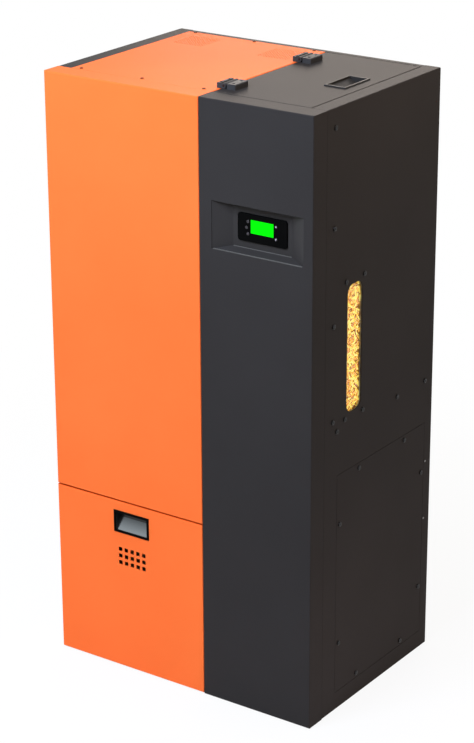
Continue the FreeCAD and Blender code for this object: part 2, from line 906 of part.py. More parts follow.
def hopper_form(inset, foot, top):
    # The bin: a box, a leaning rear wall and a funnel to the auger inlet, all drawn in by the inset.
    x0, x1 = hopper_left + inset, hopper_right - inset
    y0, y1 = hopper_front + inset, hopper_rear - inset
    tall = (x0, x1, y0, y1)
    low = (x0, x1, y0, hopper_slope_rear - inset)
    half = inlet_width / 2 - inset
    out = (inlet_left + inset, inlet_right - inset, auger_y - half, auger_y + half)
    upper = block((x0, y0, hopper_slope_top), (x1, y1, top))
    bin_form = joined([upper, frustum(low, hopper_box_foot, tall, hopper_slope_top),
                       frustum(out, hopper_foot, low, hopper_box_foot)])
    below = block((left, front, 0), (right, rear, foot))
    return bin_form.cut(below)


def pellet_hopper():
    wall = hopper_wall
    neck = block((neck_left, neck_front, hopper_top - wall), (neck_right, neck_rear, neck_top))
    outer = joined([hopper_form(0, hopper_foot, hopper_top), neck])
    inner = hopper_form(wall, hopper_foot - wall, hopper_top - wall)
    outlet = block((inlet_left + inlet_wall, auger_y - inlet_width / 2 + inlet_wall, hopper_foot - wall),
                   (inlet_right - inlet_wall, auger_y + inlet_width / 2 - inlet_wall, hopper_foot + wall))
    mouth = block((neck_left + wall, neck_front + wall, hopper_top - 2 * wall),
                  (neck_right - wall, neck_rear - wall, neck_top + wall))
    return outer.cut(joined([inner, mouth, outlet])).cut(slot_cutter(slot_clear))


def pellet_charge():
    return hopper_form(hopper_wall + charge_gap, hopper_foot + charge_gap, charge_top)


def sight_window():
    half_w = slot_width / 2 + pane_margin
    half_h = slot_tall / 2 + pane_margin
    pane = block((side_inner - pane_thick, slot_y - half_w, slot_height - half_h),
                 (side_inner, slot_y + half_w, slot_height + half_h))
    return drilled(pane, screw_holes(window_spots, (1, 0, 0)))


# Auger feed

def at_auger(x, dz=0.0):
    return (x, auger_y, auger_height + dz)


def auger_tube():
    radius, wall = auger_tube_radius, auger_tube_wall
    half = inlet_width / 2
    top = hopper_foot
    outer = joined([
        rod(radius, at_auger(auger_left), at_auger(auger_right)),
        rod(auger_flange, at_auger(auger_right - auger_cap), at_auger(auger_right)),
        block((inlet_left, auger_y - half, auger_height), (inlet_right, auger_y + half, top)),
        block((inlet_left - inlet_flange, auger_y - half - inlet_flange, top - inlet_flange_thick),
              (inlet_right + inlet_flange, auger_y + half + inlet_flange, top)),
        rod(chute_radius, at_auger(burner_x), at_auger(burner_x, -spout_drop)),
    ])
    bore = joined([
        rod(radius - wall, at_auger(auger_left + auger_cap), at_auger(auger_right + auger_cap)),
        block((inlet_left + inlet_wall, auger_y - half + inlet_wall, auger_height),
              (inlet_right - inlet_wall, auger_y + half - inlet_wall, top + auger_cap)),
        rod(chute_radius - chute_wall, at_auger(burner_x), at_auger(burner_x, -spout_drop - auger_cap)),
    ])
    bush_seat = rod(bush_radius, at_auger(auger_left - auger_cap), at_auger(auger_left + auger_cap * 2))
    return outer.cut(bore).cut(bush_seat)


def auger_end_bush():
    wall = bush_radius - auger_shaft - shaft_fit
    return pipe(bush_radius, wall, at_auger(auger_left), at_auger(auger_left + bush_length))


def auger_screw():
    start = auger_left + bush_length + flight_thick * 2
    length = auger_right - auger_cap - flight_thick * 2 - start
    spine = Part.makeHelix(flight_pitch, length, auger_shaft)
    root = auger_shaft - flight_thick / 2
    half = flight_thick / 2
    tip = flight_radius
    section = polygon([(root, 0, -half), (tip, 0, -half), (tip, 0, half), (root, 0, half)])
    flight = Part.Wire(spine).makePipeShell([section], True, True)
    flight = placed(flight, (0, 1, 0), (0, 0, 1), (1, 0, 0), at_auger(start))
    shaft = rod(auger_shaft, at_auger(auger_left + seat_gap), at_auger(auger_right + shaft_in_motor))
    return joined([shaft, flight])


def auger_gearmotor():
    x0, x1 = auger_right, auger_right + gearbox_length
    half_w, half_t = gearbox_width / 2, gearbox_tall / 2
    box = block((x0, auger_y - half_w, auger_height - half_t),
                (x1, auger_y + half_w, auger_height + half_t))
    uprights = [e for e in box.Edges if abs(e.Vertexes[0].X - e.Vertexes[1].X) > gearbox_length / 2]
    box = box.makeFillet(bezel_corner, uprights)
    middle = x0 + motor_radius
    bottom = auger_height - half_t
    can = rod(motor_radius, (middle, auger_y, bottom), (middle, auger_y, bottom - motor_length))
    ends = [e for e in can.Edges if len(e.Vertexes) == 1 and e.CenterOfMass.z < bottom - bend]
    can = can.makeFillet(bezel_corner, ends)
    bore = rod(auger_shaft + shaft_fit, at_auger(x0 - sheet), at_auger(x0 + shaft_in_motor + sheet))
    return joined([box, can]).cut(bore)


def drop_chute():
    return pipe(chute_radius, chute_wall, at_auger(burner_x, -spout_drop),
                (burner_x, auger_y, burner_height + burner_tall / 2))


# Burner and its fan

def at_burner(y, dz=0.0):
    return (burner_x, y, burner_height + dz)


def burner_housing():
    half_w, half_t = burner_width / 2, burner_tall / 2
    back = boiler_front
    wall = burner_wall
    plate_front = back - burner_flange_thick
    outer = block((burner_x - half_w, burner_front, burner_height - half_t),
                  (burner_x + half_w, back, burner_height + half_t))
    flange = block((burner_x - half_w - burner_flange, plate_front, burner_height - half_t - burner_flange),
                   (burner_x + half_w + burner_flange, back, burner_height + half_t + burner_flange))
    hollow = block((burner_x - half_w + wall, burner_front + wall, burner_height - half_t + wall),
                   (burner_x + half_w - wall, plate_front, burner_height + half_t - wall))
    inlet = rod(chute_radius - chute_wall, (burner_x, auger_y, burner_height),
                (burner_x, auger_y, burner_height + burner_tall))
    throat = rod(flame_radius - flame_wall, at_burner(plate_front - wall), at_burner(back + wall))
    spindle_hole = rod(spindle_radius * 2, at_burner(burner_front - wall), at_burner(burner_front + wall * 2))
    return drilled(joined([outer, flange]), [hollow, inlet, throat, fan_outlet(), spindle_hole])


def flame_tube():
    return pipe(flame_radius, flame_wall, at_burner(boiler_front), at_burner(boiler_front + flame_length))


def fan_outlet():
    # The air passes from the fan into the burner through one round port.
    rise = fan_inner_radius - air_port_inset
    return rod(air_port_radius, at_burner(burner_front - fan_wall * 2, rise),
               at_burner(burner_front + burner_wall * 2, rise))


def scroll(grow):
    # The volute: its radius grows evenly round the circle and drops back at the tongue.
    def spot(turn):
        radius = fan_inner_radius + fan_growth * turn + grow
        angle = 2 * math.pi * turn
        return V(radius * math.cos(angle), 0, radius * math.sin(angle))
    steps = 8
    edges = []
    for i in range(steps):
        a, b = i / steps, (i + 1) / steps
        edges.append(Part.Arc(spot(a), spot((a + b) / 2), spot(b)).toShape())
    edges.append(Part.makeLine(spot(1), spot(0)))
    return Part.Face(Part.Wire(edges))


def fan_housing():
    y0, y1 = burner_front - fan_depth, burner_front
    outer = scroll(fan_wall).extrude(V(0, y1 - y0, 0))
    outer.translate(V(*at_burner(y0)))
    hollow = scroll(0).extrude(V(0, y1 - y0 - 2 * fan_wall, 0))
    hollow.translate(V(*at_burner(y0 + fan_wall)))
    lip = pipe(fan_inlet + fan_wall * 2, fan_wall * 2, at_burner(y0 - fan_wall), at_burner(y0))
    inlet = rod(fan_inlet, at_burner(y0 - fan_wall * 2), at_burner(y0 + fan_wall * 2))
    spindle_hole = rod(spindle_radius * 2, at_burner(y1 - fan_wall * 2), at_burner(y1 + fan_wall))
    return drilled(joined([outer, lip]), [hollow, inlet, fan_outlet(), spindle_hole])


impeller_back = burner_front - fan_wall - impeller_gap
impeller_front = burner_front - fan_depth + fan_wall + impeller_gap


def fan_impeller():
    # A back disc, a front ring and forward-curved blades between them, on a hub.
    disc = rod(impeller_radius, at_burner(impeller_back - impeller_disc), at_burner(impeller_back))
    ring = pipe(impeller_radius, impeller_radius - impeller_eye, at_burner(impeller_front),
                at_burner(impeller_front + impeller_disc))
    hub = rod(hub_radius, at_burner(impeller_back - hub_length), at_burner(impeller_back))
    pieces = [disc, ring, hub]
    lean = blade_lean
    r0, r1 = impeller_eye, impeller_radius - blade_thick / 2
    blade = Part.Face(Part.Wire([
        Part.Arc(V(r0, 0, 0), V((r0 + r1) / 2, 0, -blade_thick), V(r1, 0, lean)).toShape(),
        Part.makeLine(V(r1, 0, lean), V(r1, 0, lean + blade_thick)),
        Part.Arc(V(r1, 0, lean + blade_thick), V((r0 + r1) / 2, 0, 0), V(r0, 0, blade_thick)).toShape(),
        Part.makeLine(V(r0, 0, blade_thick), V(r0, 0, 0)),
    ])).extrude(V(0, impeller_back - impeller_front - impeller_disc * 2, 0))
    for i in range(impeller_blades):
        one = blade.copy()
        one.rotate(V(0, 0, 0), V(0, 1, 0), 360.0 * i / impeller_blades)
        one.translate(V(*at_burner(impeller_front + impeller_disc)))
        pieces.append(one)
    bore = rod(spindle_radius + spindle_fit, at_burner(impeller_front), at_burner(burner_front))
    return joined(pieces).cut(bore)


def fan_motor():
    back = burner_front + burner_wall
    can = rod(motor_can_radius, at_burner(back), at_burner(back + motor_can_length))
    rim = [e for e in can.Edges if len(e.Vertexes) == 1 and e.CenterOfMass.y > back + bend]
    spindle = rod(spindle_radius, at_burner(impeller_back - spindle_in_hub), at_burner(back + bend))
    return joined([can.makeFillet(bend, rim), spindle])


def igniter():
    back = burner_front + burner_wall + motor_can_length + bend * 2
    z = -igniter_drop
    element = rod(igniter_radius, at_burner(back, z), at_burner(back + igniter_length, z))
    foot = block((burner_x - igniter_radius, back, burner_height - burner_tall / 2 + burner_wall),
                 (burner_x + igniter_radius, back + igniter_radius * 2, burner_height + z))
    return joined([element, foot])


# Boiler

chamber_low = (boiler_left + jacket, boiler_front + jacket, boiler_foot)
chamber_high = (boiler_right - jacket, boiler_rear - jacket, chamber_top)


def tube_spots():
    steps = [i - (tube_grid - 1) / 2 for i in range(tube_grid)]
    return [(boiler_x + i * tube_pitch_x, boiler_y + j * tube_pitch_y) for i in steps for j in steps]


def grown(low, high, amount):
    return block([c - amount for c in low], [c + amount for c in high])


def boiler_vessel():
    outer = block((boiler_left, boiler_front, boiler_foot), (boiler_right, boiler_rear, boiler_top))
    water = block((boiler_left + shell, boiler_front + shell, boiler_foot + chamber_wall),
                  (boiler_right - shell, boiler_rear - shell, smoke_box_floor - smoke_plate))
    water = water.cut(grown(chamber_low, chamber_high, chamber_wall))
    sleeve = flame_radius + flame_gap + burner_sleeve
    water = water.cut(rod(sleeve, at_burner(boiler_front), at_burner(boiler_y)))
    smoke_box = block((boiler_left + shell, boiler_front + shell, smoke_box_floor),
                      (boiler_right - shell, boiler_rear - shell, boiler_top + shell))
    holes = [block((chamber_low[0], chamber_low[1], boiler_foot - shell), chamber_high), smoke_box,
             rod(flame_radius + flame_gap, at_burner(boiler_front - shell), at_burner(boiler_y)),
             rod(flue_radius - flue_wall, (flue_x, boiler_y, flue_height),
                 (flue_x, boiler_rear + shell, flue_height))]
    for x, y in tube_spots():
        water = water.cut(rod(tube_radius + tube_wall, (x, y, chamber_top), (x, y, smoke_box_floor)))
        holes.append(rod(tube_radius, (x, y, chamber_top - shell), (x, y, smoke_box_floor + shell)))
    for z in (flow_height, return_height):
        holes.append(rod(port_radius, (socket_x, boiler_rear - 2 * shell, z),
                         (socket_x, boiler_rear + shell, z)))
    return drilled(outer.cut(water), holes)


def turbulators():
    # Folded strips that hang in the smoke tubes from cross bars on the tube plate.
    half_w = strip_width / 2
    swing = strip_width / 4
    top = smoke_box_floor
    rise = strip_length / strip_folds
    outline = [((-1) ** i * swing, top - i * rise) for i in range(strip_folds + 1)]
    points = [(x, 0, z) for x, z in outline] + [(x + 2 * strip_thick, 0, z) for x, z in reversed(outline)]
    made = []
    for x, y in tube_spots():
        strip = prism([(px + x, y - half_w, pz) for px, py, pz in points], (0, strip_width, 0))
        bar = block((x - hanger_length / 2, y - strip_thick, top),
                    (x + hanger_length / 2, y + strip_thick, top + hanger_tall))
        made.append(joined([strip, bar]))
    return Part.makeCompound(made)


def smoke_box_cover():
    over = smoke_cover_overhang
    z0, z1 = boiler_top, boiler_top + smoke_cover_thick
    plate = block((boiler_left - over, boiler_front - over, z0),
                  (boiler_right + over, boiler_rear + over, z1))
    half, inside = cover_grip / 2, cover_grip / 2 - shell * 2
    grip = block((boiler_x - half, boiler_y - shell, z1),
                 (boiler_x + half, boiler_y + shell, z1 + cover_grip_tall))
    gap = block((boiler_x - inside, boiler_y - 2 * shell, z1),
                (boiler_x + inside, boiler_y + 2 * shell, z1 + cover_grip_tall - shell * 2))
    return joined([plate, grip.cut(gap)])


def insulation_slabs():
    gap = slab_gap
    over = smoke_cover_overhang + gap
    under = boiler_top - gap
    side = block((left + sheet + slab_panel_gap, boiler_front, flange_foot),
                 (boiler_left - gap, boiler_rear, under))
    face = block((boiler_left, boiler_front - slab_thick - gap, auger_height + auger_flange),
                 (boiler_right, boiler_front - gap, under))
    z0 = boiler_top + smoke_cover_thick + cover_grip_tall + gap
    lid = block((boiler_left - over, boiler_front - over, z0),
                (boiler_right + over, boiler_rear + over, top_slab_top))
    return Part.makeCompound([side, face, lid])


# Ash pit and ash box

def ash_pit():
    skirt = block((boiler_left, boiler_front, pan_sheet), (boiler_right, boiler_rear, boiler_foot))
    return skirt.cut(block((boiler_left + shell, boiler_front - shell, 0),
                           (boiler_right - shell, boiler_rear - shell, boiler_foot * 2)))


def ash_box():
    front_y = plate_back - plate_thick
    tray = block((box_left, plate_back - plate_thick / 2, box_bottom), (box_right, box_rear, box_top))
    tray = tray.cut(block((box_left + box_wall, plate_back, box_bottom + box_wall),
                          (box_right - box_wall, box_rear - box_wall, box_top * 2)))
    plate = block((plate_left, front_y, plate_bottom), (plate_right, plate_back, plate_top))
    pieces = [tray, plate]
    reach = front + sheet
    for edge, inward in ((box_left + arm_inset, 1), (box_right - arm_inset, -1)):
        x0, x1 = sorted((edge, edge + inward * arm_thick))
        pieces.append(block((x0, reach, arm_bottom), (x1, front_y, arm_top)))
        f0, f1 = sorted((edge, edge + inward * arm_foot))
        pieces.append(block((f0, reach, arm_bottom), (f1, reach + arm_thick, arm_top)))
    return joined(pieces)


def ash_box_seal():
    low = (plate_left, plate_back, plate_bottom)
    high = (plate_right, plate_back + rope, plate_top)
    inner_low = (plate_left + rope_width, plate_back - rope, plate_bottom + rope_width)
    inner_high = (plate_right - rope_width, plate_back + rope * 2, plate_top - rope_width)
    return block(low, high).cut(block(inner_low, inner_high))


def drawer_rails():
    made = []
    half = rail_width / 2
    for x in rail_x:
        rail = block((x - half, rail_front, pan_sheet), (x + half, rail_rear, rail_top))
        rail = rail.cut(block((x - half + rail_wall, rail_front - shell, pan_sheet + rail_wall),
                              (x + half - rail_wall, rail_rear + shell, rail_top - rail_wall)))
        made.append(rail.cut(block((x - rail_slot / 2, rail_front - shell, pan_sheet + rail_wall),
                                   (x + rail_slot / 2, rail_rear + shell, rail_top + rail_wall))))
    return Part.makeCompound(made)


def drawer_slides():
    made = []
    half = rail_width / 2 - rail_wall - slide_side_gap
    z0 = pan_sheet + rail_wall + slide_gap
    for x in rail_x:
        head = block((x - half, rail_front, z0), (x + half, rail_rear, rail_top - rail_wall - slide_gap))
        web = block((x - slide_web / 2, rail_front, z0), (x + slide_web / 2, rail_rear, box_bottom))
        relief = block((x - slide_web, rail_front - shell, plate_bottom - slide_gap),
                       (x + slide_web, plate_back + rope + slide_gap, box_bottom * 2))
        made.append(joined([head, web.cut(relief)]))
    return Part.makeCompound(made)


# Rear connections

def at_flue(y):
    return (flue_x, y, flue_height)


def flue_spigot():
    end = rear + flue_length
    tube = joined([rod(flue_radius + flue_step, at_flue(boiler_rear), at_flue(rear)),
                   rod(flue_radius, at_flue(rear), at_flue(end))])
    flange = rod(flue_flange, at_flue(boiler_rear), at_flue(boiler_rear + flue_flange_thick))
    bore = rod(flue_radius - flue_wall, at_flue(boiler_rear - shell), at_flue(end + shell))
    return joined([tube, flange]).cut(bore)


def pipe_socket(z):
    return pipe(socket_radius, socket_radius - socket_bore, (socket_x, boiler_rear, z),
                (socket_x, rear + socket_out, z))


def hexagon(radius, y0, y1):
    corners = []
    for i in range(6):
        angle = math.radians(60 * i)
        corners.append((gland_x + radius * math.cos(angle), y0, gland_height + radius * math.sin(angle)))
    return prism(corners, (0, y1 - y0, 0))


def at_gland(y):
    return (gland_x, y, gland_height)


def cable_gland():
    inner = rear_inner - gland_nut
    hex_end = rear + gland_hex_length
    dome = Part.makeCone(gland_radius, gland_tip, gland_dome, V(*at_gland(hex_end)), V(0, 1, 0))
    stem = rod(gland_radius, at_gland(inner), at_gland(rear))
    pieces = [hexagon(gland_hex, rear, hex_end), stem, dome, hexagon(gland_hex, inner, rear_inner)]
    bore = rod(gland_bore, at_gland(inner - shell), at_gland(hex_end + gland_dome + shell))
    return joined(pieces).cut(bore)


parts = {
    "base_pan": base_pan(),
    "left_side_panel": left_side_panel(),
    "right_side_panel": right_side_panel(),
    "service_hatch": service_hatch(),
    "rear_panel": rear_panel(),
    "divider_panel": divider_panel(),
    "front_top_rail": front_top_rail(),
    "top_cover": top_cover(),
    "upper_front_cover": upper_front_cover(),
    "lower_front_cover": lower_front_cover(),
    "hopper_front_panel": hopper_front_panel(),
    "cover_pull": cover_pull(),
    "hopper_lid": hopper_lid(),
    "lid_seal": lid_seal(),
    "lid_pull": lid_pull(),
    "hinge_fixed_leaves": hinge_fixed_leaves(),
    "hinge_moving_leaves": hinge_moving_leaves(),
    "hinge_pins": hinge_pins(),
    "controller_tray": controller_tray(),
    "controller_housing": controller_housing(),
    "display_window": display_window(),
    "sight_window": sight_window(),
    "pellet_hopper": pellet_hopper(),
    "pellet_charge": pellet_charge(),
    "auger_tube": auger_tube(),
    "auger_end_bush": auger_end_bush(),
    "auger_screw": auger_screw(),
    "auger_gearmotor": auger_gearmotor(),
    "drop_chute": drop_chute(),
    "burner_housing": burner_housing(),
    "flame_tube": flame_tube(),
    "igniter": igniter(),
    "fan_housing": fan_housing(),
    "fan_impeller": fan_impeller(),
    "fan_motor": fan_motor(),
    "boiler_vessel": boiler_vessel(),
    "turbulators": turbulators(),
    "smoke_box_cover": smoke_box_cover(),
    "insulation_slabs": insulation_slabs(),
    "ash_pit": ash_pit(),
    "ash_box": ash_box(),
    "ash_box_seal": ash_box_seal(),
    "drawer_rails": drawer_rails(),
    "drawer_slides": drawer_slides(),
    "flue_spigot": flue_spigot(),
    "flow_socket": pipe_socket(flow_height),
    "return_socket": pipe_socket(return_height),
    "cable_gland": cable_gland(),
    "top_cover_screws": screw_group(top_spots, (0, 0, 1), 2 * sheet, True, top_head_radius, top_head_height),
    "right_panel_screws": screw_group(right_spots, (1, 0, 0), sheet),
    "left_panel_screws": screw_group(left_spots, (-1, 0, 0), sheet),
    "hatch_screws": screw_group(hatch_spots, (1, 0, 0), 2 * sheet),
    "window_screws": screw_group(window_spots, (1, 0, 0), sheet + pane_thick - pane_gap, False),
    "rear_panel_screws": screw_group(rear_spots, (0, 1, 0), 2 * sheet),
}
for key in key_offsets:
    parts[key] = control_key(key)

os.makedirs("parts", exist_ok=True)
for node, shape in parts.items():
    shape.exportStep("parts/" + node + ".step")
    print(node, len(shape.Solids), "solids", shape.isValid(), round(shape.Volume))
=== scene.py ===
# %% [markdown]
# # A pellet boiler, dressed for its portrait
#
# The CAD model already has every panel, hinge and pipe in its right place and size. This lesson
# loads it as a fixed frame, gives every surface a finish that follows the real one, and models the
# few things that a solid can't show: loose pellets, cross-slotted screws, rivets, edge guards and
# marks on the keys.

# %% Load the frame
import bpy
import json
import math
import random
from mathutils import Matrix, Vector


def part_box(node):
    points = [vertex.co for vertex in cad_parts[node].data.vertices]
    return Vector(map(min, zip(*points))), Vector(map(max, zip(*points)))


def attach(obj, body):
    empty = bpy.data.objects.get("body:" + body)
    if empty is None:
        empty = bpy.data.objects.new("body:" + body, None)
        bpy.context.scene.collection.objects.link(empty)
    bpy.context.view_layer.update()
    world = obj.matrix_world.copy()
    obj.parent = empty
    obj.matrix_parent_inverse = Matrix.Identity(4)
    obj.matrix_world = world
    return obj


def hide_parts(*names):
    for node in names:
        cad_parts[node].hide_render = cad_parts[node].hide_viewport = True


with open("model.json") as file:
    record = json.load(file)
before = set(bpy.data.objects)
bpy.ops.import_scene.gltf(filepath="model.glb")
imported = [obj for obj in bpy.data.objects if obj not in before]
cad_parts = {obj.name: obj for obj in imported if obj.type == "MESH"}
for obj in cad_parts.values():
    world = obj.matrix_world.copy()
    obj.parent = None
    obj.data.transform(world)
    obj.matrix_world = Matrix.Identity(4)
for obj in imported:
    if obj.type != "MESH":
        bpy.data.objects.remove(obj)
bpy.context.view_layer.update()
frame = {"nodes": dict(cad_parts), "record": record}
nodes = frame["nodes"]
bpy.ops.object.select_all(action="DESELECT")

# %% [markdown]
# The camera stands where the photo was taken from. A fit to the casing's corners gave its place, its
# direction and a long lens, so the upright edges lean only a little. Three typed angles could turn it,
# but a rotation built from three axes is easier to follow: where it looks, its right and its top.

# %% Camera
camera_place = (2.6138, -3.7481, 2.3949)
lens_mm, sensor_mm, clip_end = 112.07, 36.0, 50.0
azimuth, elevation, roll = math.radians(35.06), math.radians(20.93), math.radians(-0.262)
look = Vector((-math.sin(azimuth) * math.cos(elevation),
               math.cos(azimuth) * math.cos(elevation),
               -math.sin(elevation)))
level = look.cross(Vector((0, 0, 1))).normalized()
above = level.cross(look)
across = level * math.cos(roll) + above * math.sin(roll)
upward = above * math.cos(roll) - level * math.sin(roll)
bpy.ops.object.camera_add(location=camera_place)
camera = bpy.context.object
camera.name = "portrait_camera"
camera.rotation_euler = Matrix((across, upward, -look)).transposed().to_euler()
camera.data.lens = lens_mm
camera.data.sensor_width = sensor_mm
camera.data.clip_end = clip_end
bpy.context.scene.camera = camera
print("camera at", tuple(round(c, 3) for c in camera.location))

# %% [markdown]
# Blender's materials are trees of nodes. A few small helpers keep the rest of the lesson short. In
# each of them an input may be a plain value or the output of another node, so one call does both.

# %% Node helpers


def feed(tree, socket, value):
    # Links an input to another node's output, or sets it to a plain value.
    if isinstance(value, bpy.types.NodeSocket):
        tree.links.new(value, socket)
    else:
        socket.default_value = value


def math_node(tree, operation, first, second):
    made = tree.nodes.new("ShaderNodeMath")
    made.operation = operation
    feed(tree, made.inputs[0], first)
    feed(tree, made.inputs[1], second)
    return made.outputs[0]


def remap(tree, value, low, high, to_low, to_high):
    # Stretches low..high to to_low..to_high, and stays at the ends beyond them.
    made = tree.nodes.new("ShaderNodeMapRange")
    labels = ("Value", "From Min", "From Max", "To Min", "To Max")
    for label, number in zip(labels, (value, low, high, to_low, to_high)):
        feed(tree, made.inputs[label], number)
    return made.outputs["Result"]


def blend(tree, share, first, second):
    # Mixes two colours: a share of 0 gives the first, and 1 the second.
    made = tree.nodes.new("ShaderNodeMix")
    made.data_type = "RGBA"
    for label, value in (("Factor", share), ("A", first), ("B", second)):
        feed(tree, made.inputs[label], value)
    return made.outputs["Result"]


print("node helpers:", [helper.__name__ for helper in (feed, math_node, remap, blend)])

# %% [markdown]
# A white background could come from very strong lamps, but they would bleach the boiler too. Light Path
# tells what kind of ray asks for a colour, so floor and world can answer with plain white where the
# camera sees them, straight, in a reflection or through glass, and with soft light to all other rays.

# %% What the camera sees


def new_material(name):
    made = bpy.data.materials.new(name)
    made.use_nodes = True
    made.node_tree.nodes.clear()
    return made, made.node_tree


def seen_rays(tree):
    # 1 for what the camera sees directly, in a reflection or through glass, and otherwise 0.
    path = tree.nodes.new("ShaderNodeLightPath")
    total = path.outputs["Is Camera Ray"]
    for label in ("Is Glossy Ray", "Is Transmission Ray"):
        total = math_node(tree, "MAXIMUM", total, path.outputs[label])
    return total


def mix_and_show(tree, share, unseen, seen, output):
    # Mixes two shaders, and links the mix to an output node of the kind that is named.
    mix = tree.nodes.new("ShaderNodeMixShader")
    tree.links.new(share, mix.inputs["Fac"])
    tree.links.new(unseen, mix.inputs[1])
    tree.links.new(seen, mix.inputs[2])
    tree.links.new(mix.outputs["Shader"], tree.nodes.new(output).inputs["Surface"])


print("ray helpers:", [helper.__name__ for helper in (new_material, seen_rays, mix_and_show)])

# %% [markdown]
# The boiler stands on a pale floor that runs into the white, with no horizon. The floor is chalky, so it
# takes the soft shadow. Near the boiler a small share of the chalk shows through the white, which keeps
# the shadow faint, and further out it fades away.

# %% Floor
floor_size, floor_drop = 40.0, 0.0005
shadow_from, shadow_to = 0.5, 2.0       # metres from the middle, where the shadow fades out
near_white, far_white = 0.91, 1.0
bpy.ops.mesh.primitive_plane_add(size=floor_size, location=(0, 0, -floor_drop))
floor = bpy.context.object
floor.name = "studio_floor"
floor_paint, tree = new_material("floor_paint")
chalk = tree.nodes.new("ShaderNodeBsdfDiffuse")
chalk.inputs["Color"].default_value = (0.9, 0.9, 0.9, 1)
bright = tree.nodes.new("ShaderNodeEmission")
bright.inputs["Strength"].default_value = 1.0
away = tree.nodes.new("ShaderNodeVectorMath")
away.operation = "LENGTH"
tree.links.new(tree.nodes.new("ShaderNodeTexCoord").outputs["Object"], away.inputs[0])
fade = remap(tree, away.outputs["Value"], shadow_from, shadow_to, near_white, far_white)
share = math_node(tree, "MULTIPLY", fade, seen_rays(tree))
mix_and_show(tree, share, chalk.outputs["BSDF"], bright.outputs["Emission"],
             "ShaderNodeOutputMaterial")
floor.data.materials.append(floor_paint)
print("floor:", floor_size, "m wide")

# %% [markdown]
# The world is a white room to the camera and to reflections. As a lamp it is dim and slightly warm, so
# that it only fills the shadows, and the colours render about as they are written.

# %% World


def background(tree, colour, strength):
    made = tree.nodes.new("ShaderNodeBackground")
    made.inputs["Color"].default_value = colour
    made.inputs["Strength"].default_value = strength
    return made.outputs["Background"]


scene = bpy.context.scene
scene.view_settings.view_transform = "Standard"
world = bpy.data.worlds.new("white_room")
world.use_nodes = True
scene.world = world
tree = world.node_tree
tree.nodes.clear()
fill_strength = 0.24
fill = background(tree, (1.0, 0.955, 0.91, 1), fill_strength)
white = background(tree, (1.0, 1.0, 1.0, 1), 1.0)
mix_and_show(tree, seen_rays(tree), fill, white, "ShaderNodeOutputWorld")
print("world:", world.name, "fills the shadows with a strength of", fill_strength)

# %% [markdown]
# Painted sheet metal is lit by large soft lamps, so that smooth panels show broad, gentle tones and no
# hot spots. The front lamp does most of the work. A low one, further out, is there for the polished
# floor of the cover's pull, which mirrors it. Two small ones on the right lift the dark side at its
# top and at its foot, and large ones at the left and the rear fill the rest. Cool light in front and
# warm light at the right and the rear give the dark paint a bluish front and a brownish side.

# %% Lamps
lamps = {
    # place, the point that it faces, width, height, watts, tint
    "front_lamp": ((-0.1, -1.8, 2.65), (0, -0.2, 0.9), 1.2, 1.2, 104, (0.67, 0.775, 1.0)),
    "low_front_lamp": ((-2.95, -4.3, 1.55), (-0.1, -0.2, 0.5), 1.4, 1.4, 19, (0.76, 0.91, 1.0)),
    "right_lamp": ((0.95, 0.05, 1.85), (0.33, 0, 1.15), 0.6, 0.6, 6.2, (1.0, 0.74, 0.57)),
    "low_right_lamp": ((0.95, -0.15, 0.12), (0.33, -0.1, 0.10), 0.7, 0.2, 1.1, (1.0, 0.62, 0.52)),
    "left_lamp": ((-4.2, 0.4, 2.2), (0, 0, 0.7), 2.4, 2.4, 36, (1.0, 1.0, 1.0)),
    "rear_lamp": ((-1.45, 3.9, 2.7), (0, 0, 0.9), 3.0, 1.6, 100, (1.0, 0.86, 0.74)),
}
for name, (place, target, width, height, watts, tint) in lamps.items():
    bpy.ops.object.light_add(type="AREA", location=place)
    lamp = bpy.context.object
    lamp.name = name
    lamp.data.shape = "RECTANGLE"
    lamp.data.size = width
    lamp.data.size_y = height
    lamp.data.energy = watts
    lamp.data.color = tint
    lamp.rotation_euler = (Vector(target) - Vector(place)).to_track_quat("-Z", "Y").to_euler()
print("lamps:", list(lamps))

# %% [markdown]
# A pattern that more than one material uses is built once, as a node group, and every material places
# it with values of its own. Each group here takes the surface's coordinates and gives a colour, a
# roughness and, mostly, a relief. One helper starts a group with its inputs, and one closes it.

# %% Node groups
relief_depth = {}


def new_group(name, **kinds):
    # Starts a group that takes coordinates and the inputs named, and gives their inner ends.
    made = bpy.data.node_groups.new(name, "ShaderNodeTree")
    for label, kind in {"Vector": "Vector", **kinds}.items():
        made.interface.new_socket(label, in_out="INPUT", socket_type="NodeSocket" + kind)
    return made, made.nodes.new("NodeGroupInput").outputs


def close_group(group, depth=0.0, **outs):
    # Adds the group's outputs, and notes how deep its relief is, in metres.
    for label in outs:
        kind = "Color" if label == "Color" else "Float"
        group.interface.new_socket(label, in_out="OUTPUT", socket_type="NodeSocket" + kind)
    leave = group.nodes.new("NodeGroupOutput")
    for label, socket in outs.items():
        group.links.new(socket, leave.inputs[label])
    relief_depth[group.name] = depth


print("group helpers:", [helper.__name__ for helper in (new_group, close_group)])

# %% [markdown]
# Because all groups give the same things, one function makes a material from any of them: a Bump node
# turns the relief into a normal, and the Principled shader does the rest. Object coordinates keep each
# grain at its true size on every piece, large or small.

# %% Finishes from groups
finishes = {}


def principled(name):
    # Starts a material with a Principled shader, and gives its tree, shader and coordinates.
    finishes[name], tree = new_material(name)
    out = tree.nodes.new("ShaderNodeOutputMaterial")
    shader = tree.nodes.new("ShaderNodeBsdfPrincipled")
    coords = tree.nodes.new("ShaderNodeTexCoord")
    tree.links.new(shader.outputs["BSDF"], out.inputs["Surface"])
    return tree, shader, coords.outputs["Object"]


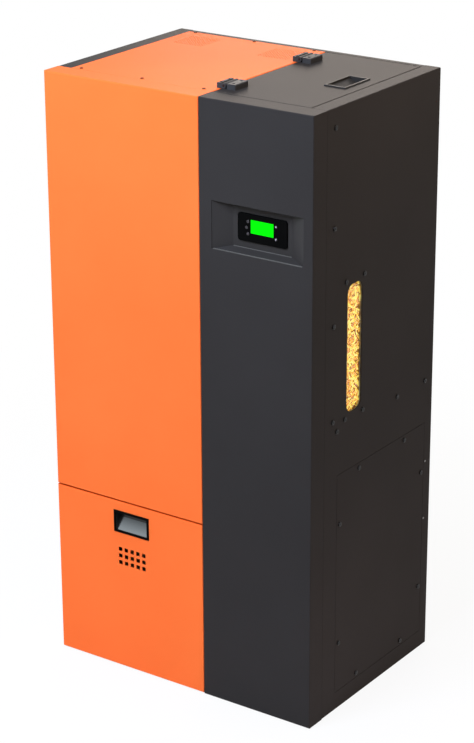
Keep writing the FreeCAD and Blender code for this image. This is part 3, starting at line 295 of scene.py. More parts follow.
def make_finish(name, group, relief=0.0, gloss=0.5, metallic=0.0, **values):
    # A material from a group, with the group's values and a relief and gloss of its own.
    tree, shader, coords = principled(name)
    own = tree.nodes.new("ShaderNodeGroup")
    own.node_tree = group
    tree.links.new(coords, own.inputs["Vector"])
    for label, value in values.items():
        socket = own.inputs[label.title()]
        socket.default_value = value + (1,) if socket.type == "RGBA" else value
    tree.links.new(own.outputs["Color"], shader.inputs["Base Color"])
    tree.links.new(own.outputs["Roughness"], shader.inputs["Roughness"])
    shader.inputs["Specular IOR Level"].default_value = gloss
    shader.inputs["Metallic"].default_value = metallic
    if relief:
        bump = tree.nodes.new("ShaderNodeBump")
        bump.inputs["Strength"].default_value = relief
        bump.inputs["Distance"].default_value = relief_depth[group.name]
        tree.links.new(own.outputs["Height"], bump.inputs["Height"])
        tree.links.new(bump.outputs["Normal"], shader.inputs["Normal"])
    return finishes[name]


print("finish helpers:", [helper.__name__ for helper in (principled, make_finish)])

# %% [markdown]
# Powder coat is a plastic skin baked on metal. Close up it has a fine orange-peel relief, and from
# spray to spray its colour drifts a little. Two noises of very different size give both.

# %% Painted finishes


def noise(tree, coords, scale, detail, rough=0.5):
    made = tree.nodes.new("ShaderNodeTexNoise")
    labels = ("Vector", "Scale", "Detail", "Roughness")
    for label, value in zip(labels, (coords, scale, detail, rough)):
        feed(tree, made.inputs[label], value)
    return made.outputs["Fac"]


def spread(tree, value, to_low=0.0, to_high=1.0):
    # A noise lies mostly between 0.3 and 0.7, and that much is stretched over the range wanted.
    return remap(tree, value, 0.3, 0.7, to_low, to_high)


powder, own = new_group("powder_coat", Thin="Color", Thick="Color", Grain="Float",
                        Smooth="Float", Rough="Float")
drift = noise(powder, own["Vector"], 3.2, 3.0)
peel = noise(powder, own["Vector"], own["Grain"], 2.0, 0.6)
close_group(powder, depth=0.0004,
            Color=blend(powder, spread(powder, drift), own["Thin"], own["Thick"]),
            Roughness=spread(powder, peel, own["Smooth"], own["Rough"]),
            Height=peel)

paints = {
    "orange_paint": dict(thin=(0.91, 0.158, 0.0326), thick=(0.95, 0.175, 0.038), grain=700,
                         smooth=0.36, rough=0.46, relief=0.10, gloss=0.012),
    "dark_paint": dict(thin=(0.0285, 0.0258, 0.0240), thick=(0.0325, 0.0294, 0.0274), grain=900,
                       smooth=0.38, rough=0.50, relief=0.16, gloss=0.015),
    "boiler_paint": dict(thin=(0.018, 0.018, 0.019), thick=(0.026, 0.025, 0.025), grain=500,
                         smooth=0.6, rough=0.75, relief=0.3, gloss=0.3),
    "motor_paint": dict(thin=(0.05, 0.055, 0.06), thick=(0.06, 0.066, 0.072), grain=600,
                        smooth=0.35, rough=0.5, relief=0.15),
}
for name, values in paints.items():
    make_finish(name, powder, **values)
print("painted:", list(paints))

# %% [markdown]
# Moulded plastic differs from paint in its relief: the mould is spark-eroded, so the surface is a fine
# pebble. A Voronoi texture gives rounded cells of even size, and a slow noise keeps large faces alive.

# %% Moulded finishes


def voronoi(tree, coords, scale):
    made = tree.nodes.new("ShaderNodeTexVoronoi")
    feed(tree, made.inputs["Vector"], coords)
    feed(tree, made.inputs["Scale"], scale)
    return made.outputs


moulded, own = new_group("moulded_pebble", Dark="Color", Light="Color", Cells="Float",
                         Smooth="Float", Rough="Float")
slow = noise(moulded, own["Vector"], 14.0, 3.0)
close_group(moulded, depth=0.0003,
            Color=blend(moulded, slow, own["Dark"], own["Light"]),
            Roughness=spread(moulded, slow, own["Smooth"], own["Rough"]),
            Height=voronoi(moulded, own["Vector"], own["Cells"])["Distance"])

plastics = {
    "black_plastic": dict(dark=(0.008, 0.008, 0.009), light=(0.016, 0.016, 0.018), cells=1500,
                          smooth=0.38, rough=0.5, relief=0.12),
    "hinge_plastic": dict(dark=(0.031, 0.031, 0.031), light=(0.046, 0.046, 0.046), cells=1300,
                          smooth=0.42, rough=0.56, relief=0.2, gloss=0.05),
    "key_plastic": dict(dark=(0.008, 0.008, 0.009), light=(0.013, 0.013, 0.014), cells=2500,
                        smooth=0.3, rough=0.4, relief=0.05),
    "seal_rubber": dict(dark=(0.012, 0.012, 0.012), light=(0.02, 0.02, 0.02), cells=2200,
                        smooth=0.75, rough=0.9, relief=0.4),
}
for name, values in plastics.items():
    make_finish(name, moulded, **values)
print("moulded:", list(plastics))

# %% [markdown]
# Galvanised sheet, which the hopper's bin is folded from, has frosty crystals called spangle. Voronoi
# cells with a random tone each make them, and a noise adds the slight waviness of the zinc.

# %% Galvanised sheet
spangle, own = new_group("zinc_spangle", Dark="Color", Light="Color", Smooth="Float", Rough="Float")
tone = spangle.nodes.new("ShaderNodeSeparateColor")
spangle.links.new(voronoi(spangle, own["Vector"], 95.0)["Color"], tone.inputs["Color"])
close_group(spangle, depth=0.0006,
            Color=blend(spangle, tone.outputs["Red"], own["Dark"], own["Light"]),
            Roughness=remap(spangle, tone.outputs["Green"], 0.0, 1.0, own["Smooth"], own["Rough"]),
            Height=noise(spangle, own["Vector"], 30.0, 4.0))
zinc = make_finish("zinc_sheet", spangle, relief=0.05, metallic=1.0, smooth=0.42, rough=0.6,
                   dark=(0.42, 0.44, 0.46), light=(0.6, 0.62, 0.64))
print("galvanised:", zinc.name)

# %% [markdown]
# Rolled and turned metal has fine streaks and slight stains. A noise that is packed closer along some
# axes than along others makes the streaks, and a slower one stains them. Screws and rivets are too
# small to show a direction, so theirs is packed alike along all three axes.

# %% Streaked metal


def stretched(tree, own):
    # A group's coordinates times its Stretch: a larger number packs the pattern closer.
    made = tree.nodes.new("ShaderNodeMapping")
    tree.links.new(own["Vector"], made.inputs["Vector"])
    tree.links.new(own["Stretch"], made.inputs["Scale"])
    return made.outputs["Vector"]


streaked, own = new_group("metal_streaks", Dark="Color", Light="Color", Stretch="Vector",
                          Smooth="Float", Rough="Float")
streaks = noise(streaked, stretched(streaked, own), 1.0, 4.0, 0.65)
stain = noise(streaked, own["Vector"], 18.0, 4.0)
tone = math_node(streaked, "MULTIPLY", streaks, math_node(streaked, "ADD", stain, 0.5))
tone_low, tone_high = 0.25, 0.75
share = remap(streaked, tone, tone_low, tone_high, 0.0, 1.0)
close_group(streaked, depth=0.0003,
            Color=blend(streaked, share, own["Dark"], own["Light"]),
            Roughness=remap(streaked, tone, tone_low, tone_high, own["Smooth"], own["Rough"]),
            Height=streaks)

metals = {
    "steel": dict(dark=(0.3, 0.3, 0.3), light=(0.5, 0.5, 0.49), stretch=(40, 400, 400),
                  smooth=0.3, rough=0.48),
    "bronze": dict(dark=(0.42, 0.24, 0.09), light=(0.55, 0.34, 0.14), stretch=(300, 40, 300),
                   smooth=0.3, rough=0.45),
    "screw_steel": dict(dark=(0.012, 0.012, 0.012), light=(0.036, 0.036, 0.036),
                        stretch=(500, 500, 500), smooth=0.25, rough=0.36),
    "browned_steel": dict(dark=(0.07, 0.018, 0.006), light=(0.13, 0.035, 0.012),
                          stretch=(500, 500, 500), smooth=0.55, rough=0.7),
    "rivet": dict(dark=(0.16, 0.16, 0.155), light=(0.24, 0.24, 0.235),
                  stretch=(700, 700, 700), smooth=0.25, rough=0.4),
}
for name, values in metals.items():
    make_finish(name, streaked, relief=0.06, metallic=1.0, **values)
print("metals:", list(metals))

# %% [markdown]
# Three soft or loose things are left: mineral wool, the rope round the ash box and the dusty mass of the
# pellets, which is dark brown both as dust and as painted shade in the gaps between the loose pellets on
# it. All three are tangles of fibres, so one noise with much fine detail gives them their colour and
# their deep relief. Only the wool's is drawn out sideways, as its slabs are layered.

# %% Wool, rope and dust
fibrous, own = new_group("loose_fibres", Dark="Color", Light="Color", Stretch="Vector")
fibres = noise(fibrous, stretched(fibrous, own), 1.0, 6.0, 0.7)
close_group(fibrous, depth=0.002,
            Color=blend(fibrous, spread(fibrous, fibres), own["Dark"], own["Light"]),
            Roughness=spread(fibrous, fibres, 0.95, 0.8),
            Height=fibres)
make_finish("mineral_wool", fibrous, dark=(0.30, 0.24, 0.09), light=(0.52, 0.44, 0.2),
            stretch=(60, 60, 700), relief=0.8)
make_finish("rope_seal", fibrous, dark=(0.34, 0.32, 0.27), light=(0.62, 0.6, 0.54),
            stretch=(420, 420, 420), relief=0.9)
# darker than the loose pellets: dust, and painted shade in the gaps between them
finishes["pellets"] = make_finish("pellet_dust_and_shade", fibrous, dark=(0.26, 0.09, 0.006),
                                  light=(0.58, 0.26, 0.024), stretch=(260, 260, 260),
                                  relief=0.9, gloss=0.03)
print("loose: mineral_wool, rope_seal, pellets")

# %% [markdown]
# The display is a lit panel behind a clear front, so it both glows and shines. A faint grid of dots, the
# pixels of the module, breaks the flat green when seen from close by. The sight pane is plain clear
# plate with faint smears, and a low alpha lets the lamps reach the pellets behind it.

# %% Display and pane
tree, shader, coords = principled("display")
dots = tree.nodes.new("ShaderNodeTexChecker")
dots.inputs["Scale"].default_value = 2200.0
dots.inputs["Color1"].default_value = (0.0, 0.92, 0.0, 1)
dots.inputs["Color2"].default_value = (0.0, 1.0, 0.004, 1)
tree.links.new(coords, dots.inputs["Vector"])
tree.links.new(dots.outputs["Color"], shader.inputs["Emission Color"])
shader.inputs["Emission Strength"].default_value = 1.15
shader.inputs["Base Color"].default_value = (0.0, 0.03, 0.0, 1)
shader.inputs["Specular IOR Level"].default_value = 0.03
shader.inputs["Roughness"].default_value = 0.25

tree, shader, coords = principled("clear_pane")
shader.inputs["Base Color"].default_value = (0.97, 0.985, 0.975, 1)
shader.inputs["Transmission Weight"].default_value = 1.0
shader.inputs["IOR"].default_value = 1.46
shader.inputs["Alpha"].default_value = 0.08
smears = noise(tree, coords, 16.0, 3.0)
tree.links.new(remap(tree, smears, 0.4, 0.8, 0.02, 0.08), shader.inputs["Roughness"])
print("lit and clear: display, clear_pane")

# %% [markdown]
# The record says which finish each CAD node takes. By hand that would be one visit to the material
# panel per node, so a loop dresses the whole frame, and takes off the plain colours it came with.

# %% Dress the CAD nodes
slot_of = {part["node"]: part["material_slot"] for part in frame["record"]["subparts"]}
for name, node in nodes.items():
    node.data.materials.clear()
    node.data.materials.append(finishes[slot_of[name]])
print("dressed", len(nodes), "nodes with", len(set(slot_of.values())), "finishes")

# %% [markdown]
# A few nodes differ from others of their slot. The controller's front is a membrane, smoother and
# blacker than other plastic, and its tray has the dark paint a little smoother. Pellet dust dulls the
# lid's pull. The hinge pins are blackened. Each gets a variant of a finish that is already there.

# %% Finishes of their own
make_finish("membrane", moulded, dark=(0.001, 0.001, 0.001), light=(0.002, 0.002, 0.002),
            cells=3000, smooth=0.28, rough=0.36, relief=0.03, gloss=0.02)
make_finish("dusty_pull", moulded, dark=(0.017, 0.016, 0.015), light=(0.030, 0.028, 0.026),
            cells=1800, smooth=0.45, rough=0.6, relief=0.1, gloss=0.1)
smoother = dict(paints["dark_paint"], smooth=0.18, rough=0.26, relief=0.08, gloss=0.06)
make_finish("tray_paint", powder, **smoother)
own_finish = {
    "controller_housing": "membrane",
    "controller_tray": "tray_paint",
    "lid_pull": "dusty_pull",
    "hinge_pins": "screw_steel",
}
for name, finish in own_finish.items():
    nodes[name].data.materials[0] = finishes[finish]
print("own finishes:", own_finish)

# %% [markdown]
# Hands keep the inside of the lower cover's pull polished, so its sloping floor mirrors the low front
# lamp. A clear coat over black plastic does that. A mask along the depth of the cup keeps the coat
# off the rim and fades it towards the deep end, which fingers hardly reach.

# %% Polished pull


def object_axes(tree):
    # The object's X, Y and Z, each as an output of its own.
    made = tree.nodes.new("ShaderNodeSeparateXYZ")
    tree.links.new(tree.nodes["Texture Coordinate"].outputs["Object"], made.inputs["Vector"])
    return made.outputs


polished = make_finish("polished_pull", moulded, dark=(0.001, 0.001, 0.001),
                       light=(0.002, 0.002, 0.002), cells=3000, smooth=0.3, rough=0.4,
                       relief=0.03, gloss=0.02)
tree = polished.node_tree
shader = tree.nodes["Principled BSDF"]
shader.inputs["Coat Roughness"].default_value = 0.22
shader.inputs["Coat IOR"].default_value = 1.8
coat_starts = (0.0022, 0.0030)      # how far behind the rim's front the coat sets in
coat_thins = (0.006, 0.0165)        # and between which depths it thins out
deep_share = 0.3
rim_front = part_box("cover_pull")[0].y
y = object_axes(tree)["Y"]
cup = remap(tree, y, rim_front + coat_starts[0], rim_front + coat_starts[1], 0.0, 1.0)
reach = remap(tree, y, rim_front + coat_thins[0], rim_front + coat_thins[1], 1.0, deep_share)
tree.links.new(math_node(tree, "MULTIPLY", cup, reach), shader.inputs["Coat Weight"])
nodes["cover_pull"].data.materials[0] = polished
print("the pull's rim is at y = %.4f" % rim_front)

# %% [markdown]
# The seam between the two front covers is too narrow for light to get into, so its folds get painted
# shade, a darker orange than the faces. The covers get the orange paint once more, with a mask that is 1
# where a point is both near the seam's height and behind the front face.

# %% Seam between the covers
seam_low, seam_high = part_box("lower_front_cover")[1].z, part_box("upper_front_cover")[0].z
seam = seam_high - seam_low
cover_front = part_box("upper_front_cover")[0].y
# a darker orange, painted as the shade that fills the narrow seam
seam_shade_colour = (0.58, 0.062, 0.005, 1)
fold_starts = (0.0004, 0.0012)      # how far behind the front face the folds begin
covers = make_finish("cover_paint_seam_shade", powder, **paints["orange_paint"])
tree = covers.node_tree
axes = object_axes(tree)
off_seam = math_node(tree, "SUBTRACT", axes["Z"], (seam_low + seam_high) / 2)
near = remap(tree, math_node(tree, "ABSOLUTE", off_seam, 0.0), seam, 1.2 * seam, 1.0, 0.0)
deep = remap(tree, axes["Y"], cover_front + fold_starts[0], cover_front + fold_starts[1], 0.0, 1.0)
# the mask of the painted shade in the seam's folds
folded = math_node(tree, "MULTIPLY", near, deep)
paint = blend(tree, folded, tree.nodes["Group"].outputs["Color"], seam_shade_colour)
tree.links.new(paint, tree.nodes["Principled BSDF"].inputs["Base Color"])
for name in ("upper_front_cover", "lower_front_cover"):
    nodes[name].data.materials[0] = covers
print("seam between the covers: %.1f mm" % (1000 * seam))

# %% [markdown]
# A wood pellet is a short extruded rod, about 6 mm thick, broken off at a random length. One is
# modelled from a cylinder with few sides: its end faces are inset and pushed out a little, which gives
# the crumbled ends a soft edge. Few faces matter, because it is repeated more than a thousand times.

# %% One pellet


def rod(corners, radius, height, middle=0.0):
    # A cylinder along Z, with its middle at a height that goes into its mesh.
    bpy.ops.object.select_all(action="DESELECT")
    bpy.ops.mesh.primitive_cylinder_add(vertices=corners, radius=radius, depth=height,
                                        location=(0, 0, middle))
    bpy.ops.object.transform_apply(location=True)
    return bpy.context.object


def pick_faces(piece, test):
    # Selects, in object mode, the faces whose normal passes a test.
    for v in piece.data.vertices:
        v.select = False
    for e in piece.data.edges:
        e.select = False
    for f in piece.data.polygons:
        f.select = test(f.normal)


def activate(piece):
    bpy.ops.object.select_all(action="DESELECT")
    piece.select_set(True)
    bpy.context.view_layer.objects.active = piece


def edit(piece, *actions):
    # Runs edit-mode actions on one piece.
    activate(piece)
    bpy.ops.object.mode_set(mode="EDIT")
    bpy.ops.mesh.select_mode(type="FACE")
    for action in actions:
        action()
    bpy.ops.object.mode_set(mode="OBJECT")


pellet_radius, pellet_length = 0.003, 0.015
end_inset, end_push = 0.0009, 0.0006
pellet = rod(8, pellet_radius, pellet_length)
for end in (-1, 1):
    pick_faces(pellet, lambda normal: normal.z * end > 0.9)
    edit(pellet, lambda: bpy.ops.mesh.inset(thickness=end_inset),
         lambda: bpy.ops.transform.translate(value=(0, 0, end * end_push)))
print("pellet faces:", len(pellet.data.polygons))

# %% [markdown]
# Pellets can be dropped by a physics simulation, but only those in the sight window and on top of the
# heap are ever seen. Laying them in jittered rows, with a fixed seed, looks the same and takes a moment.
# All pellets of a place become one mesh, and each carries a tone of its own in an attribute, for its
# finish to read.

# %% How pellets are laid
random.seed(11)
full_turn = 6.28


def steps(start, stop, step):
    # Evenly spaced values, from start until stop is reached.
    value = start
    while value < stop:
        yield value
        value += step


def shaken(centre, spans):
    # A point near a centre, moved at random by as much as a span allows along each axis.
    return Vector([c + random.uniform(*span) for c, span in zip(centre, spans)])


def lie(centre, along, length_share):
    # A matrix that lays the pellet at a centre, with its own Z turned along a direction.
    turn = Vector(along).to_track_quat("Z", "Y").to_matrix().to_4x4()
    spin = Matrix.Rotation(random.uniform(0, full_turn), 4, "Z")
    return Matrix.Translation(centre) @ turn @ spin @ Matrix.Diagonal((1, 1, length_share, 1))


def scatter(name, places):
    # One mesh with a copy of the pellet at each place.
    points, faces, tones = [], [], []
    for place in places:
        first = len(points)
        tone = random.random()
        points += [place @ v.co for v in pellet.data.vertices]
        tones += [tone] * len(pellet.data.vertices)
        faces += [[first + i for i in f.vertices] for f in pellet.data.polygons]
    mesh = bpy.data.meshes.new(name)
    mesh.from_pydata(points, [], faces)
    mesh.attributes.new("tone", "FLOAT", "POINT").data.foreach_set("value", tones)
    made = bpy.data.objects.new(name, mesh)
    bpy.context.collection.objects.link(made)
    return made


print("pellet helpers:", [helper.__name__ for helper in (steps, shaken, lie, scatter)])

# %% [markdown]
# Behind the sight pane the pellets lie in two layers. The deep one runs on behind the sheet at the rear
# and below, where a slanting look through the pane reaches. A pellet whose ends would reach too far out
# is left out, because it would stick through the sheet.

# %% Pellets in the window
low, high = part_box("sight_window")
charge_low, charge_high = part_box("pellet_charge")
layers = (
    # depth in the heap, steps along Y and Z, and distances kept from the pane's edges in Y and Z
    (0.0030, 0.0056, 0.0105, (0.010, 0.001), (0.004, 0.011)),
    (0.0018, 0.0056, 0.0095, (0.0125, 0.0125), (0.0125, 0.0125)),
)
window_spans = ((-0.0004, 0.0003), (-0.002, 0.002), (-0.003, 0.003))
window_places = []
for depth, step_y, step_z, edge_y, edge_z in layers:
    y_from, y_to = low.y + edge_y[0], high.y - edge_y[1]
    z_from, z_to = low.z + edge_z[0], high.z - edge_z[1]
    for y in steps(y_from, y_to, step_y):
        for z in steps(z_from, z_to, step_z):
            angle = random.uniform(0, math.pi)
            share = random.uniform(0.55, 1.0)
            place = shaken((charge_high.x - depth, y, z), window_spans)
            along = Vector((random.uniform(-0.04, 0.04), math.cos(angle), math.sin(angle)))
            reach = along * (pellet_length * share / 2)
            ends = (place + reach, place - reach)
            if all(y_from < e.y < y_to and z_from < e.z < z_to for e in ends):
                window_places.append(lie(place, along, share))
window_pellets = scatter("window_pellets", window_places)
print("pellets in the window:", len(window_places))

# %% [markdown]
# On the heap, which shows when the lid is open, the pellets lie more loosely: two layers with wider
# steps, and each pellet tipped a little. A margin keeps them clear of the bin's walls. The one pellet
# that was modelled goes away at the end, because every copy has become part of the two meshes.

# %% Pellets on the heap
heap_margin, row_share = 0.009, 0.62
heap_layers = ((-0.0012, 0.0105), (0.0016, 0.0125))     # lift above the charge, and step
heap_spans = ((-0.002, 0.002), (-0.002, 0.002), (-0.001, 0.001))
heap_places = []
for lift, step in heap_layers:
    for x in steps(charge_low.x + heap_margin, charge_high.x - heap_margin, step * row_share):
        for y in steps(charge_low.y + heap_margin, charge_high.y - heap_margin, step):
            angle = random.uniform(0, math.pi)
            place = shaken((x, y, charge_high.z + lift), heap_spans)
            along = Vector((math.cos(angle), math.sin(angle), random.uniform(-0.2, 0.2)))
            heap_places.append(lie(place, along, random.uniform(0.6, 0.95)))
heap_pellets = scatter("heap_pellets", heap_places)
bpy.data.objects.remove(pellet)
print("pellets on the heap:", len(heap_places))

# %% [markdown]
# Pressed softwood is golden, with darker pellets where there was bark, and a fibrous skin that shines
# faintly where the die polished it. The tone attribute picks each pellet's colour from a ramp, and a
# noise breaks it up into fibres. A little emission is painted light that makes the pellets brighter,
# more of it in the window, behind the pane, than deep in the bin.

# %% Pellet finish
tone_stops = (
    (0.0, (0.46, 0.14, 0.010, 1)),
    (0.2, (0.92, 0.42, 0.038, 1)),
    (0.5, (1.0, 0.69, 0.08, 1)),
    (1.0, (1.0, 0.89, 0.23, 1)),
)
fibre_share = 0.42
pressed, own = new_group("pressed_wood", Tone="Float")
fibres = noise(pressed, own["Vector"], 450.0, 5.0, 0.75)
ramp = pressed.nodes.new("ShaderNodeValToRGB")
while len(ramp.color_ramp.elements) < len(tone_stops):
    ramp.color_ramp.elements.new(0.5)
for element, (place, colour) in zip(ramp.color_ramp.elements, tone_stops):
    element.position = place
    element.color = colour
drift = math_node(pressed, "ADD", own["Tone"], spread(pressed, fibres, -fibre_share, fibre_share))
pressed.links.new(drift, ramp.inputs["Fac"])
close_group(pressed, depth=0.0004, Color=ramp.outputs["Color"],
            Roughness=spread(pressed, fibres, 0.5, 0.75), Height=fibres)

for piece, name, painted_glow in ((window_pellets, "window_wood", 0.47), (heap_pellets, "heap_wood", 0.14)):
    wood = make_finish(name, pressed, relief=0.4)
    tree = wood.node_tree
    shader = tree.nodes["Principled BSDF"]
    tone = tree.nodes.new("ShaderNodeAttribute")
    tone.attribute_name = "tone"
    tree.links.new(tone.outputs["Fac"], tree.nodes["Group"].inputs["Tone"])
    tree.links.new(tree.nodes["Group"].outputs["Color"], shader.inputs["Emission Color"])
    # the emission is painted light: it brightens the pellets, though they are no lamp
    shader.inputs["Emission Strength"].default_value = painted_glow
    piece.data.materials.append(wood)
    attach(piece, "casing")
print("pellet pieces ride on the casing")

# %% [markdown]
# Sheet-metal screws have a low round head with a cross slot. The head is a cylinder with a bevelled
# rim. Two thin boxes, crossed and taken away with a Boolean modifier, leave the slot, which is simpler
# than cutting it into the faces by hand.

# %% A screw's head
head_rim, slot_depth = 0.42, 0.9        # shares of the head's height
slot_length, slot_width = 1.1, 0.22     # shares of its radius


def apply_all(piece):
    activate(piece)
    for modifier in list(piece.modifiers):
        bpy.ops.object.modifier_apply(modifier=modifier.name)


def bevel_top(piece, offset, segments):
    pick_faces(piece, lambda normal: normal.z > 0.9)
    edit(piece, lambda: bpy.ops.mesh.bevel(offset=offset, segments=segments))


def screw_head(radius, height):
    head = rod(24, radius, height, height / 2)
    bevel_top(head, height * head_rim, 3)
    for turn in (0, math.pi / 2):
        bpy.ops.mesh.primitive_cube_add(size=1.0, location=(0, 0, height))
        bar = bpy.context.object
        bar.scale = (radius * slot_length, radius * slot_width, height * slot_depth)
        bar.rotation_euler = (0, 0, turn)
        cut = head.modifiers.new("slot", "BOOLEAN")
        cut.object = bar
        cut.operation = "DIFFERENCE"
        apply_all(head)
        bpy.data.objects.remove(bar)
    return head


# Radius and height: pan heads on the panels, small flat ones on the top cover
pan_head, flat_head = (0.005, 0.0026), (0.0036, 0.0014)
print("heads: pan", pan_head, "flat", flat_head)

# %% [markdown]
# Below the head goes a plain shank, and a clinched hex nut sits behind the sheet, with its edges bevelled
# as real nuts have them. A thread would never be seen, so there is none. The pieces are joined into
# one mesh, because a group of screws is one node.

# %% A whole screw
nut_height, nut_radius, nut_edge = 0.0024, 0.0045, 0.0003
shank_radius = 0.002


def join(pieces):
    activate(pieces[0])
    for piece in pieces:
        piece.select_set(True)
    bpy.ops.object.join()
    return bpy.context.object


def full_screw(grip, nut, head):
    # The grip is the thickness of the sheets between the head and the nut.
    shank = grip + (nut_height if nut else 0.0)
    pieces = [screw_head(*head), rod(12, shank_radius, shank, -shank / 2)]
    if nut:
        ring = rod(6, nut_radius, nut_height, -grip - nut_height / 2)
        pick_faces(ring, lambda normal: abs(normal.z) > 0.9)
        edit(ring, lambda: bpy.ops.mesh.bevel(offset=nut_edge, segments=1))
        pieces.append(ring)
    return join(pieces)


print("a nut is %.1f mm wide over its corners" % (2000 * nut_radius))

# %% [markdown]
# The places of the screws come from the CAD screws themselves: the points of a node are grouped by
# nearness, and each group's middle is a place. Every copy gets its own mesh and its own turn, because
# real slots never line up.

# %% How screws are fitted
screws_apart = 0.011
slot_turn = 1.57        # about a quarter turn, after which a cross slot looks the same


def centres(node, axes):
    # Groups a node's points by two of their coordinates, and gives the middle of each group.
    groups = []
    for v in nodes[node].data.vertices:
        spot = [v.co[i] for i in axes]
        for group in groups:
            if all(abs(a - b) < screws_apart for a, b in zip(group[0], spot)):
                group.append(spot)
                break
        else:
            groups.append([spot])
    return [[(min(p[i] for p in g) + max(p[i] for p in g)) / 2 for i in (0, 1)] for g in groups]


def fit_screws(node, outward, grip, nut, face, head, finish):
    sample = full_screw(grip, nut, head)
    axis = max(range(3), key=lambda i: abs(outward[i]))
    others = [i for i in range(3) if i != axis]
    turn = Vector(outward).to_track_quat("Z", "Y").to_matrix().to_4x4()
    copies = []
    for spot in centres(node, others):
        place = Vector((0, 0, 0))
        place[axis] = face
        place[others[0]], place[others[1]] = spot
        slot = Matrix.Rotation(random.uniform(0, slot_turn), 4, "Z")
        copy = sample.copy()
        copy.data = sample.data.copy()
        bpy.context.collection.objects.link(copy)
        copy.data.transform(Matrix.Translation(place) @ turn @ slot)
        copies.append(copy)
    bpy.data.objects.remove(sample)
    group = join(copies)
    group.name = node + "_detailed"
    group.data.materials.append(finishes[finish])
    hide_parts(node)
    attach(group, "casing")
    return len(copies)


for spot in centres("window_screws", (1, 2)):
    print("a window screw is at y, z =", [round(c, 3) for c in spot])

# %% [markdown]
# The casing has six groups of screws. A table says for each group where its heads sit, how thick the
# sheets are that it grips, and whether it has nuts behind. The top cover's screws are small, flat and
# browned, and all others are dark pan heads.

# %% Fit the screws
one_sheet, two_sheets, pane_and_sheet = 0.0015, 0.003, 0.0042
top_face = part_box("top_cover")[1].z
right_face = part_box("right_side_panel")[1].x
left_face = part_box("left_side_panel")[0].x
rear_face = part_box("rear_panel")[1].y
screws = (
    # node, outward direction, grip, nut, face that the heads sit on, head, finish
    ("top_cover_screws", (0, 0, 1), two_sheets, True, top_face, flat_head, "browned_steel"),
    ("right_panel_screws", (1, 0, 0), one_sheet, True, right_face, pan_head, "screw_steel"),
    ("left_panel_screws", (-1, 0, 0), one_sheet, True, left_face, pan_head, "screw_steel"),
    ("hatch_screws", (1, 0, 0), two_sheets, True, right_face, pan_head, "screw_steel"),
    ("window_screws", (1, 0, 0), pane_and_sheet, False, right_face, pan_head, "screw_steel"),
    ("rear_panel_screws", (0, 1, 0), two_sheets, True, rear_face, pan_head, "screw_steel"),
)
for row in screws:
    print(row[0], fit_screws(*row))

# %% [markdown]
# Two small dull blind rivets sit in the right panel, near its rear edge. A blind rivet is a low dome
# with a dimple where its pin broke off. A sphere would be too round for that, so a short cylinder gets
# a rounded rim, and its top is inset and pushed in.

# %% Blind rivets
rivet_radius, rivet_height = 0.0024, 0.0011
rim_round, dimple_inset, dimple_depth = rivet_height * 0.6, rivet_radius * 0.28, rivet_height * 0.4


def rivet(name, y, z):
    made = rod(20, rivet_radius, rivet_height, rivet_height / 2)
    bevel_top(made, rim_round, 3)
    pick_faces(made, lambda normal: normal.z > 0.99)
    edit(made, lambda: bpy.ops.mesh.inset(thickness=dimple_inset),
         lambda: bpy.ops.transform.translate(value=(0, 0, -dimple_depth)))
    outward = Matrix.Rotation(math.pi / 2, 4, "Y")
    made.data.transform(Matrix.Translation((right_face, y, z)) @ outward)
    made.name = name
    made.data.materials.append(finishes["rivet"])
    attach(made, "casing")
    return made


rivets = [rivet("upper_rivet", 0.2115, 0.4455), rivet("lower_rivet", 0.2105, 0.3120)]
print("rivets:", [made.name for made in rivets])

# %% [markdown]
# The raw lower edge of the controller's opening wears an edge guard, a thin bead that catches the light
# from above, and a finer one lies in the fold below the controller. Both are a lighter grey than the
# paint, so each is also a painted highlight line. Each is a box with its upper edges bevelled round. The
# boxes of the tray and of the panel that carry them say where they go.

# %% Edge guards
# lighter grey than the dark paint, so that each bead is a painted highlight line
make_finish("guard", moulded, dark=(0.066, 0.062, 0.054), light=(0.085, 0.080, 0.070),
            cells=1600, smooth=0.4, rough=0.5, relief=0.08, gloss=0.2)
bead_round = 0.6        # share of the bead's height that its upper edges are rounded by
smooth_angle = math.radians(40)


def edge_guard(name, x, y, z):
    # A bead between the two ends that are given for each axis.
    spans = (x, y, z)
    bpy.ops.object.select_all(action="DESELECT")
    bpy.ops.mesh.primitive_cube_add(size=1.0, location=[(a + b) / 2 for a, b in spans])
    guard = bpy.context.object
    guard.scale = [b - a for a, b in spans]
    bpy.ops.object.transform_apply(location=True, rotation=True, scale=True)
    bevel_top(guard, (z[1] - z[0]) * bead_round, 4)
    bpy.ops.object.shade_smooth_by_angle(angle=smooth_angle)
    guard.name = name
    guard.data.materials.append(finishes["guard"])
    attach(guard, "casing")
    print(guard.name, [round(c, 4) for c in guard.dimensions])


def around(at, below, beyond):
    return at - below, at + beyond


tray_low, tray_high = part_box("controller_tray")
panel_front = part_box("hopper_front_panel")[0].y
tray_rim, tray_sheet, end_gap = 0.012, 0.002, 0.003
fold_rise, fold_half = 0.008, 0.0685
lip_z = tray_low.z + tray_rim
edge_guard("opening_guard",
           (tray_low.x + tray_rim + end_gap, tray_high.x - tray_rim - end_gap),
           around(panel_front, 0.0002, 0.0024),
           around(lip_z, 0.0004, 0.0014))
edge_guard("fold_guard",
           around((tray_low.x + tray_high.x) / 2, fold_half, fold_half),
           around(tray_high.y - tray_sheet, 0.0012, 0.0004),
           around(lip_z + fold_rise, 0.0006, 0.0010))

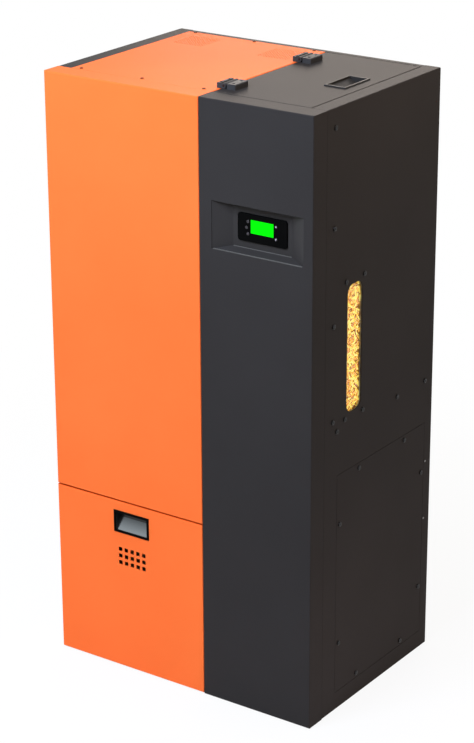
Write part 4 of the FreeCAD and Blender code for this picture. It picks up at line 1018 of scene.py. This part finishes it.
# %% [markdown]
# The keys carry plain printed marks: arrows on the right, and a ring, a dot and a square on the left.
# Each is a flat shape a tenth of a millimetre thick, made from a circle with the right number of
# corners, and it rides on its own key. The ink is slightly speckled, and fainter on the left.

# %% Ink of the key marks
ink, own = new_group("screen_print", Dark="Color", Light="Color")
speck = noise(ink, own["Vector"], 2500.0, 2.0)
close_group(ink, Color=blend(ink, speck, own["Dark"], own["Light"]),
            Roughness=spread(ink, speck, 0.4, 0.55))
bright_print = make_finish("bright_print", ink, gloss=0.2,
                           dark=(0.50, 0.40, 0.44), light=(0.72, 0.60, 0.65))
faint_print = make_finish("faint_print", ink, gloss=0.2,
                          dark=(0.045, 0.032, 0.037), light=(0.080, 0.056, 0.068))
print("inks:", bright_print.name, faint_print.name)

# %% [markdown]
# One function makes any of the marks. Solidify gives the flat shape its thickness, and two turns stand
# it upright on the key's front face.

# %% Key marks
ink_thickness = 0.0001


def key_mark(key, finish, corners, radius, turn=0.0, hole=0.0):
    low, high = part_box(key)
    centre = (low + high) / 2
    bpy.ops.object.select_all(action="DESELECT")
    bpy.ops.mesh.primitive_circle_add(vertices=corners, radius=radius, fill_type="NGON")
    mark = bpy.context.object
    if hole:
        pick_faces(mark, lambda normal: True)
        edit(mark, lambda: bpy.ops.mesh.inset(thickness=radius - hole),
             lambda: bpy.ops.mesh.delete(type="FACE"))
    thick = mark.modifiers.new("print", "SOLIDIFY")
    thick.thickness = ink_thickness
    thick.offset = 1.0
    apply_all(mark)
    stand = Matrix.Rotation(math.pi / 2, 4, "X") @ Matrix.Rotation(turn, 4, "Z")
    mark.data.transform(Matrix.Translation((centre.x, low.y, centre.z)) @ stand)
    mark.name = key + "_mark"
    mark.data.materials.append(finish)
    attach(mark, key)
    return mark


marks = (
    key_mark("key_upper_right", bright_print, 3, 0.0020),
    key_mark("key_lower_right", bright_print, 3, 0.0020, turn=math.pi),
    key_mark("key_upper_left", faint_print, 20, 0.0018, hole=0.0011),
    key_mark("key_middle_left", faint_print, 20, 0.0015),
    key_mark("key_lower_left", faint_print, 4, 0.0020, turn=math.pi / 4),
)
print("marks:", [mark.name for mark in marks])
